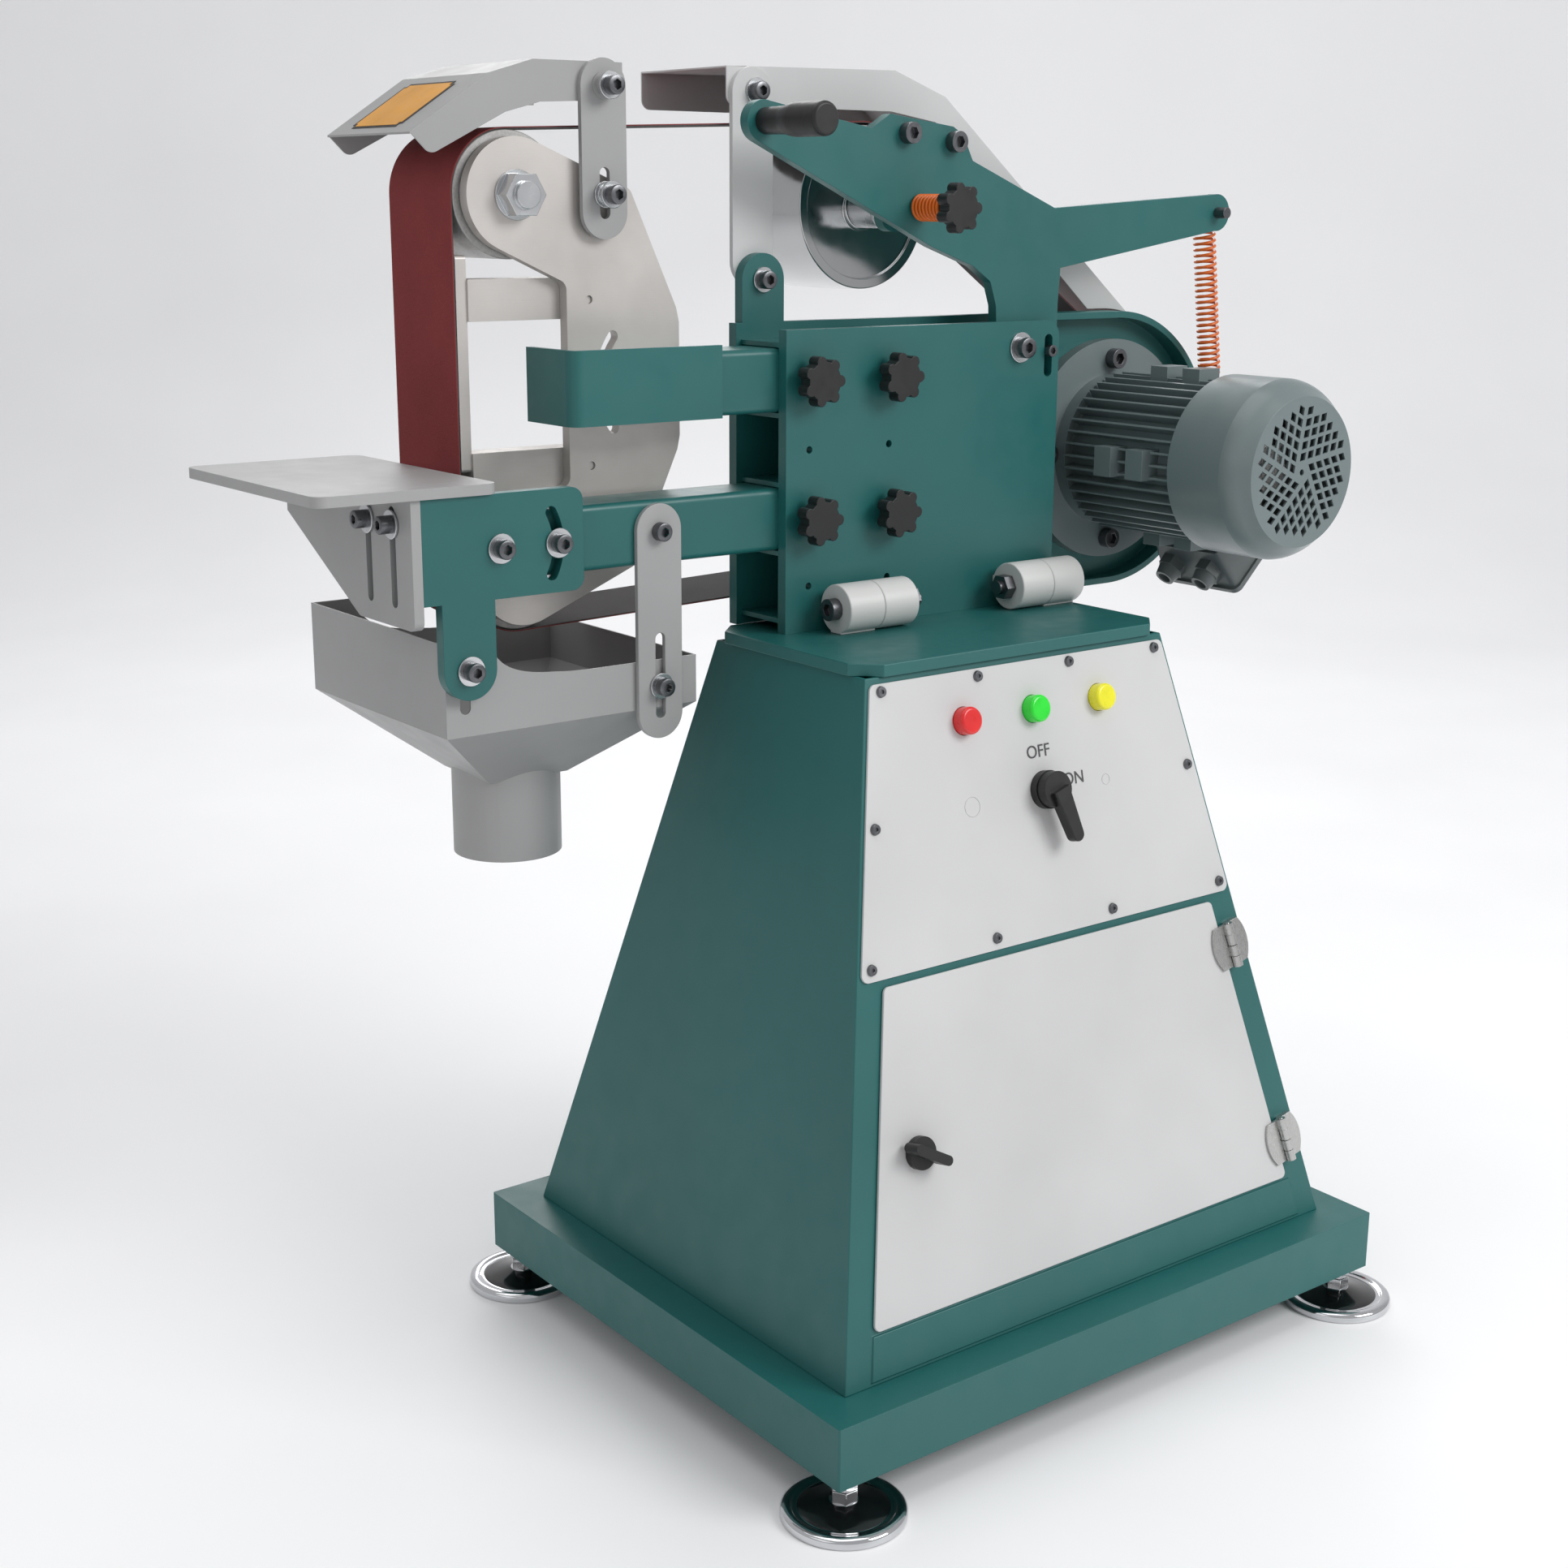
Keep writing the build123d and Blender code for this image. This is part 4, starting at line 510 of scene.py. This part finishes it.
wheels = {
    "top": wheel("upper_contact_wheel", at_joint("top_wheel_spin")),
    "track": wheel("tracking_wheel", at_joint("track_wheel_spin")),
    "drive": wheel("drive_wheel", at_joint("drive_spin")),
    "bottom": wheel("lower_contact_wheel", at_joint("bottom_wheel_spin")),
}


def leaving_angle(a, b):
    """Angle of the outward normal of the belt's straight run between two wheels."""
    (ca, ra), (cb, rb) = wheels[a], wheels[b]
    gap = cb - ca
    return math.atan2(gap.y, gap.x) + math.acos((ra - rb) / gap.length)


def arc_points(name, start, end, steps):
    """Centre-line points of the belt round a wheel, with their outward normals."""
    centre, radius = wheels[name]
    found = []
    for i in range(steps + 1):
        angle = start + (end - start) * i / steps
        normal = Vector((math.cos(angle), math.sin(angle)))
        found.append((centre + normal * (radius + BELT_GAP), normal))
    return found


def run_points(a, b, start, end, steps):
    """Points of part of the straight run from wheel a to wheel b; start and end are shares of it."""
    angle = leaving_angle(a, b)
    normal = Vector((math.cos(angle), math.sin(angle)))
    first = wheels[a][0] + normal * (wheels[a][1] + BELT_GAP)
    last = wheels[b][0] + normal * (wheels[b][1] + BELT_GAP)
    return [(first.lerp(last, start + (end - start) * i / steps), normal) for i in range(steps + 1)]


def belt_piece(name, points):
    """Closed strip of belt along points: grains outside, cloth inside."""
    work = bmesh.new()
    rows = []
    for place, normal in points:
        outer = place + normal * BELT_T
        edge = place + normal * BELT_T * 0.5
        section = [(place, belt_y0 + 0.0002), (edge, belt_y0), (outer, belt_y0 + 0.0002),
                   (outer, belt_y1 - 0.0002), (edge, belt_y1), (place, belt_y1 - 0.0002)]
        rows.append([work.verts.new((p.x, y, p.y)) for p, y in section])
    for row, following in zip(rows, rows[1:]):
        for i in range(6):
            j = (i + 1) % 6
            face = work.faces.new((row[i], row[j], following[j], following[i]))
            face.material_index = 1 if i in (5, 0, 4) else 0
    work.faces.new(rows[0])
    work.faces.new(list(reversed(rows[-1])))
    bmesh.ops.recalc_face_normals(work, faces=work.faces)
    mesh = bpy.data.meshes.new(name)
    work.to_mesh(mesh)
    work.free()
    mesh.materials.append(materials["belt"])
    mesh.materials.append(materials["belt_back"])
    smooth_by_angle(mesh, 35)
    obj = link_mesh(name, mesh)
    return obj


angles = {pair: leaving_angle(*pair) for pair in
          (("top", "track"), ("track", "drive"), ("drive", "bottom"), ("bottom", "top"))}
full_turn = 2 * math.pi
front_loop = arc_points("bottom", angles[("drive", "bottom")] + full_turn, math.pi, 24)
front_loop += run_points("bottom", "top", 0.02, 0.98, 30)
front_loop += arc_points("top", math.pi, angles[("top", "track")], 24)
front_belt = belt_piece("belt_over_platen", front_loop)
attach(front_belt, "platen")
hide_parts("belt_front")
track_belt = belt_piece("belt_on_tracking_wheel",
                        arc_points("track", angles[("top", "track")], angles[("track", "drive")], 16))
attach(track_belt, "tracking")
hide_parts("belt_track_wrap")
drive_belt = belt_piece("belt_on_drive_wheel",
                        arc_points("drive", angles[("track", "drive")], angles[("drive", "bottom")], 60))
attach(drive_belt, "head")
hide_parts("belt_runs")


def bending_run(name, a, b, shares, steps):
    """A straight run of belt, cut into stretches at the given shares of its length."""
    for i, (start, end) in enumerate(zip(shares, shares[1:])):
        points = run_points(a, b, start, end, max(2, round(steps * (end - start))))
        stretch = belt_piece(f"{name}_{i + 1}", points)
        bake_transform(stretch)


bending_run("belt_top_run", "top", "track",
            [0, 0.55, 0.6, 0.96, 1], 60)
bending_run("belt_rear_run", "track", "drive", [0, 0.06, 1], 60)
bending_run("belt_return_run", "drive", "bottom", [0, 0.25, 1], 80)


# ---------------------------------------------------------------- springs

def helix_tube(name, start, end, radius, wire, turns, material_name, hook):
    """Coil spring as a tube along a helix, with straight ends that run to its pins."""
    along = (end - start).normalized()
    side = (Y - along * Y.dot(along)).normalized()
    other = along.cross(side)
    per_turn, around = 20, 10
    count = round(turns * per_turn)
    centre_line = [start - along * hook]
    for i in range(count + 1):
        angle = 2 * math.pi * i / per_turn
        ease = min(1.0, i / per_turn * 1.5, (count - i) / per_turn * 1.5)
        around_axis = side * math.cos(angle) + other * math.sin(angle)
        centre_line.append(start.lerp(end, i / count) + around_axis * (radius * ease))
    centre_line.append(end + along * hook)
    work = bmesh.new()
    rings = []
    for i, point in enumerate(centre_line):
        before, after = centre_line[max(0, i - 1)], centre_line[min(len(centre_line) - 1, i + 1)]
        matrix = axis_matrix(point, after - before, along.cross(after - before))
        rings.append([
            work.verts.new(matrix @ Vector((wire * math.cos(a), wire * math.sin(a), 0)))
            for a in (2 * math.pi * k / around for k in range(around))
        ])
    for lower, upper in zip(rings, rings[1:]):
        for k in range(around):
            m = (k + 1) % around
            work.faces.new((lower[k], lower[m], upper[m], upper[k]))
    work.faces.new(rings[0])
    work.faces.new(list(reversed(rings[-1])))
    bmesh.ops.recalc_face_normals(work, faces=work.faces)
    mesh = bpy.data.meshes.new(name)
    work.to_mesh(mesh)
    work.free()
    mesh.materials.append(materials[material_name])
    smooth_by_angle(mesh, 60)
    obj = link_mesh(name, mesh)
    return obj


pin = Vector((0.365, 0.066, 0.938))
post = Vector((0.386, 0.066, 0.777))
line = (post - pin).normalized()
COIL_START, COIL_R, WIRE_R, TURNS, HOOK = 0.0125, 0.0092, 0.00135, 26, 0.009
rear_spring = helix_tube("tension_coil", pin + line * COIL_START, post - line * COIL_START,
                         COIL_R, WIRE_R, TURNS, "spring", HOOK)
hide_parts("tension_spring")
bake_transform(rear_spring)


# ---------------------------------------------------------------- panel's lettering, guard's label

panel_out = Vector(joints["selector_turn"]["axis"]).normalized()
panel_up = panel_out.cross(X).normalized()
if panel_up.z < 0:
    panel_up = -panel_up
selector = at_joint("selector_turn")


WORD_SIZE, WORD_RAISED, WORD_LIFT = 0.0145, 0.00012, 0.0003


def panel_word(word, across, up):
    """A short raised word on the control panel."""
    curve = bpy.data.curves.new("word_" + word, "FONT")
    curve.body = word
    curve.size = WORD_SIZE
    curve.align_x = "CENTER"
    curve.align_y = "CENTER"
    curve.extrude = WORD_RAISED
    curve.materials.append(materials["ink"])
    obj = bpy.data.objects.new("word_" + word, curve)
    bpy.context.scene.collection.objects.link(obj)
    matrix = Matrix((X, panel_up, panel_out)).transposed().to_4x4()
    matrix.translation = selector + X * across + panel_up * up + panel_out * WORD_LIFT
    obj.matrix_world = matrix
    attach(obj, "stand")


panel_word("OFF", -0.002, 0.031)
panel_word("ON", 0.033, 0.004)


def plate_piece(name, corners, normal, thickness, body, material_name, round_by):
    """A thin flat piece with the given corners rounded, lifted off its surface along the normal."""
    work = bmesh.new()
    verts = [work.verts.new(Vector(c) + normal * thickness) for c in corners]
    work.faces.new(verts)
    bmesh.ops.bevel(work, geom=verts, offset=round_by, segments=5, affect="VERTICES")
    extruded = bmesh.ops.extrude_face_region(work, geom=work.faces[:])
    moved = [v for v in extruded["geom"] if isinstance(v, bmesh.types.BMVert)]
    bmesh.ops.translate(work, verts=moved, vec=-normal * thickness)
    mesh_piece(name, work, Matrix.Identity(4), body, [material_name])


facet_low, facet_high = Vector((-0.421, 0, 0.9935)), Vector((-0.3555, 0, 1.036))
facet_up = (facet_high - facet_low).normalized()
facet_out = Vector((-facet_up.z, 0, facet_up.x))


def label_corners(low_share, high_share, y0, y1, lift):
    low, high = facet_low.lerp(facet_high, low_share), facet_low.lerp(facet_high, high_share)
    lifted = facet_out * lift
    return [Vector((low.x, y0, low.z)) + lifted, Vector((low.x, y1, low.z)) + lifted,
            Vector((high.x, y1, high.z)) + lifted, Vector((high.x, y0, high.z)) + lifted]


plate_piece("guard_label_edge", label_corners(0.10, 0.88, 0.134, 0.212, 0.0001), facet_out, 0.0003,
            "belt_guard", "label_ink", 0.004)
plate_piece("guard_label", label_corners(0.13, 0.85, 0.137, 0.209, 0.0004), facet_out, 0.0002,
            "belt_guard", "label", 0.0035)


# ---------------------------------------------------------------- floor, light and camera

CAMERA_YAW, CAMERA_PITCH, CAMERA_ROLL = 37.229, 14.756, 0.242
CAMERA_PLACE = (-1.2009, -1.3657, 0.9469)
LENS_MM, SENSOR_MM = 50.83, 36


def stage_plane():
    """Pale floor that curves up into a backdrop."""
    work = bmesh.new()
    rows = []
    profile = [(-6.0, 0.0), (3.2, 0.0)]
    profile += [(3.2 + 1.2 * math.sin(a), 1.2 - 1.2 * math.cos(a)) for a in
                (math.pi / 2 * i / 12 for i in range(1, 13))]
    profile += [(4.4, 6.0)]
    yaw = math.radians(CAMERA_YAW)
    forward = Vector((math.sin(yaw), math.cos(yaw), 0))
    right = Vector((math.cos(yaw), -math.sin(yaw), 0))
    for reach, height in profile:
        middle = forward * reach + Z * (height - 0.0002)
        rows.append([work.verts.new(middle + right * side) for side in (-9, 9)])
    for lower, upper in zip(rows, rows[1:]):
        work.faces.new((lower[0], lower[1], upper[1], upper[0]))
    mesh = bpy.data.meshes.new("floor")
    work.to_mesh(mesh)
    work.free()
    mesh.shade_smooth()
    obj = link_mesh("floor", mesh)
    m = Nodes("floor_paint", 0.0, 0.55)
    m.colour(m.ramp(m.noise(1.5, 3), [(0.3, srgb(241, 241, 242)), (0.7, srgb(246, 246, 247))]))
    m.roughness(m.grey_ramp(m.noise(6.0, 4), 0.5, 0.62))
    mesh.materials.append(m.material)


stage_plane()


AIM = Vector((0.0, 0.0, 0.55))


def area_light(name, place, size, power):
    """A rectangular soft light that faces the middle of the object."""
    data = bpy.data.lights.new(name, "AREA")
    data.shape = "RECTANGLE"
    data.size, data.size_y = size
    data.energy = power
    obj = bpy.data.objects.new(name, data)
    obj.matrix_world = axis_matrix(place, Vector(place) - AIM)
    bpy.context.scene.collection.objects.link(obj)


area_light("key_light", (1.6, -3.2, 2.9), (2.2, 1.8), 105)
area_light("left_light", (-3.4, -0.9, 2.0), (1.8, 2.4), 7)
area_light("top_light", (-0.3, 0.4, 4.0), (3.0, 3.0), 42)
area_light("back_light", (1.8, 3.0, 2.4), (2.0, 1.4), 30)

world = bpy.data.worlds.new("studio")
world.use_nodes = True
background = world.node_tree.nodes["Background"]
background.inputs["Color"].default_value = (0.98, 0.985, 1.0, 1)
background.inputs["Strength"].default_value = 0.5
bpy.context.scene.world = world
bpy.context.scene.view_settings.view_transform = "Standard"


def photo_camera():
    """Camera at the photograph's viewing angle."""
    data = bpy.data.cameras.new("camera")
    data.lens = LENS_MM
    data.sensor_width = SENSOR_MM
    data.sensor_fit = "HORIZONTAL"
    data.clip_end = 50
    obj = bpy.data.objects.new("camera", data)
    bpy.context.scene.collection.objects.link(obj)
    yaw, pitch, roll = (math.radians(a) for a in (CAMERA_YAW, CAMERA_PITCH, CAMERA_ROLL))
    forward = Vector((math.sin(yaw) * math.cos(pitch), math.cos(yaw) * math.cos(pitch), -math.sin(pitch)))
    level = Vector((math.cos(yaw), -math.sin(yaw), 0))
    upright = level.cross(forward)
    right = level * math.cos(roll) + upright * math.sin(roll)
    up = right.cross(forward)
    matrix = Matrix((right, up, -forward)).transposed().to_4x4()
    matrix.translation = Vector(CAMERA_PLACE)
    obj.matrix_world = matrix
    bpy.context.scene.camera = obj


photo_camera()
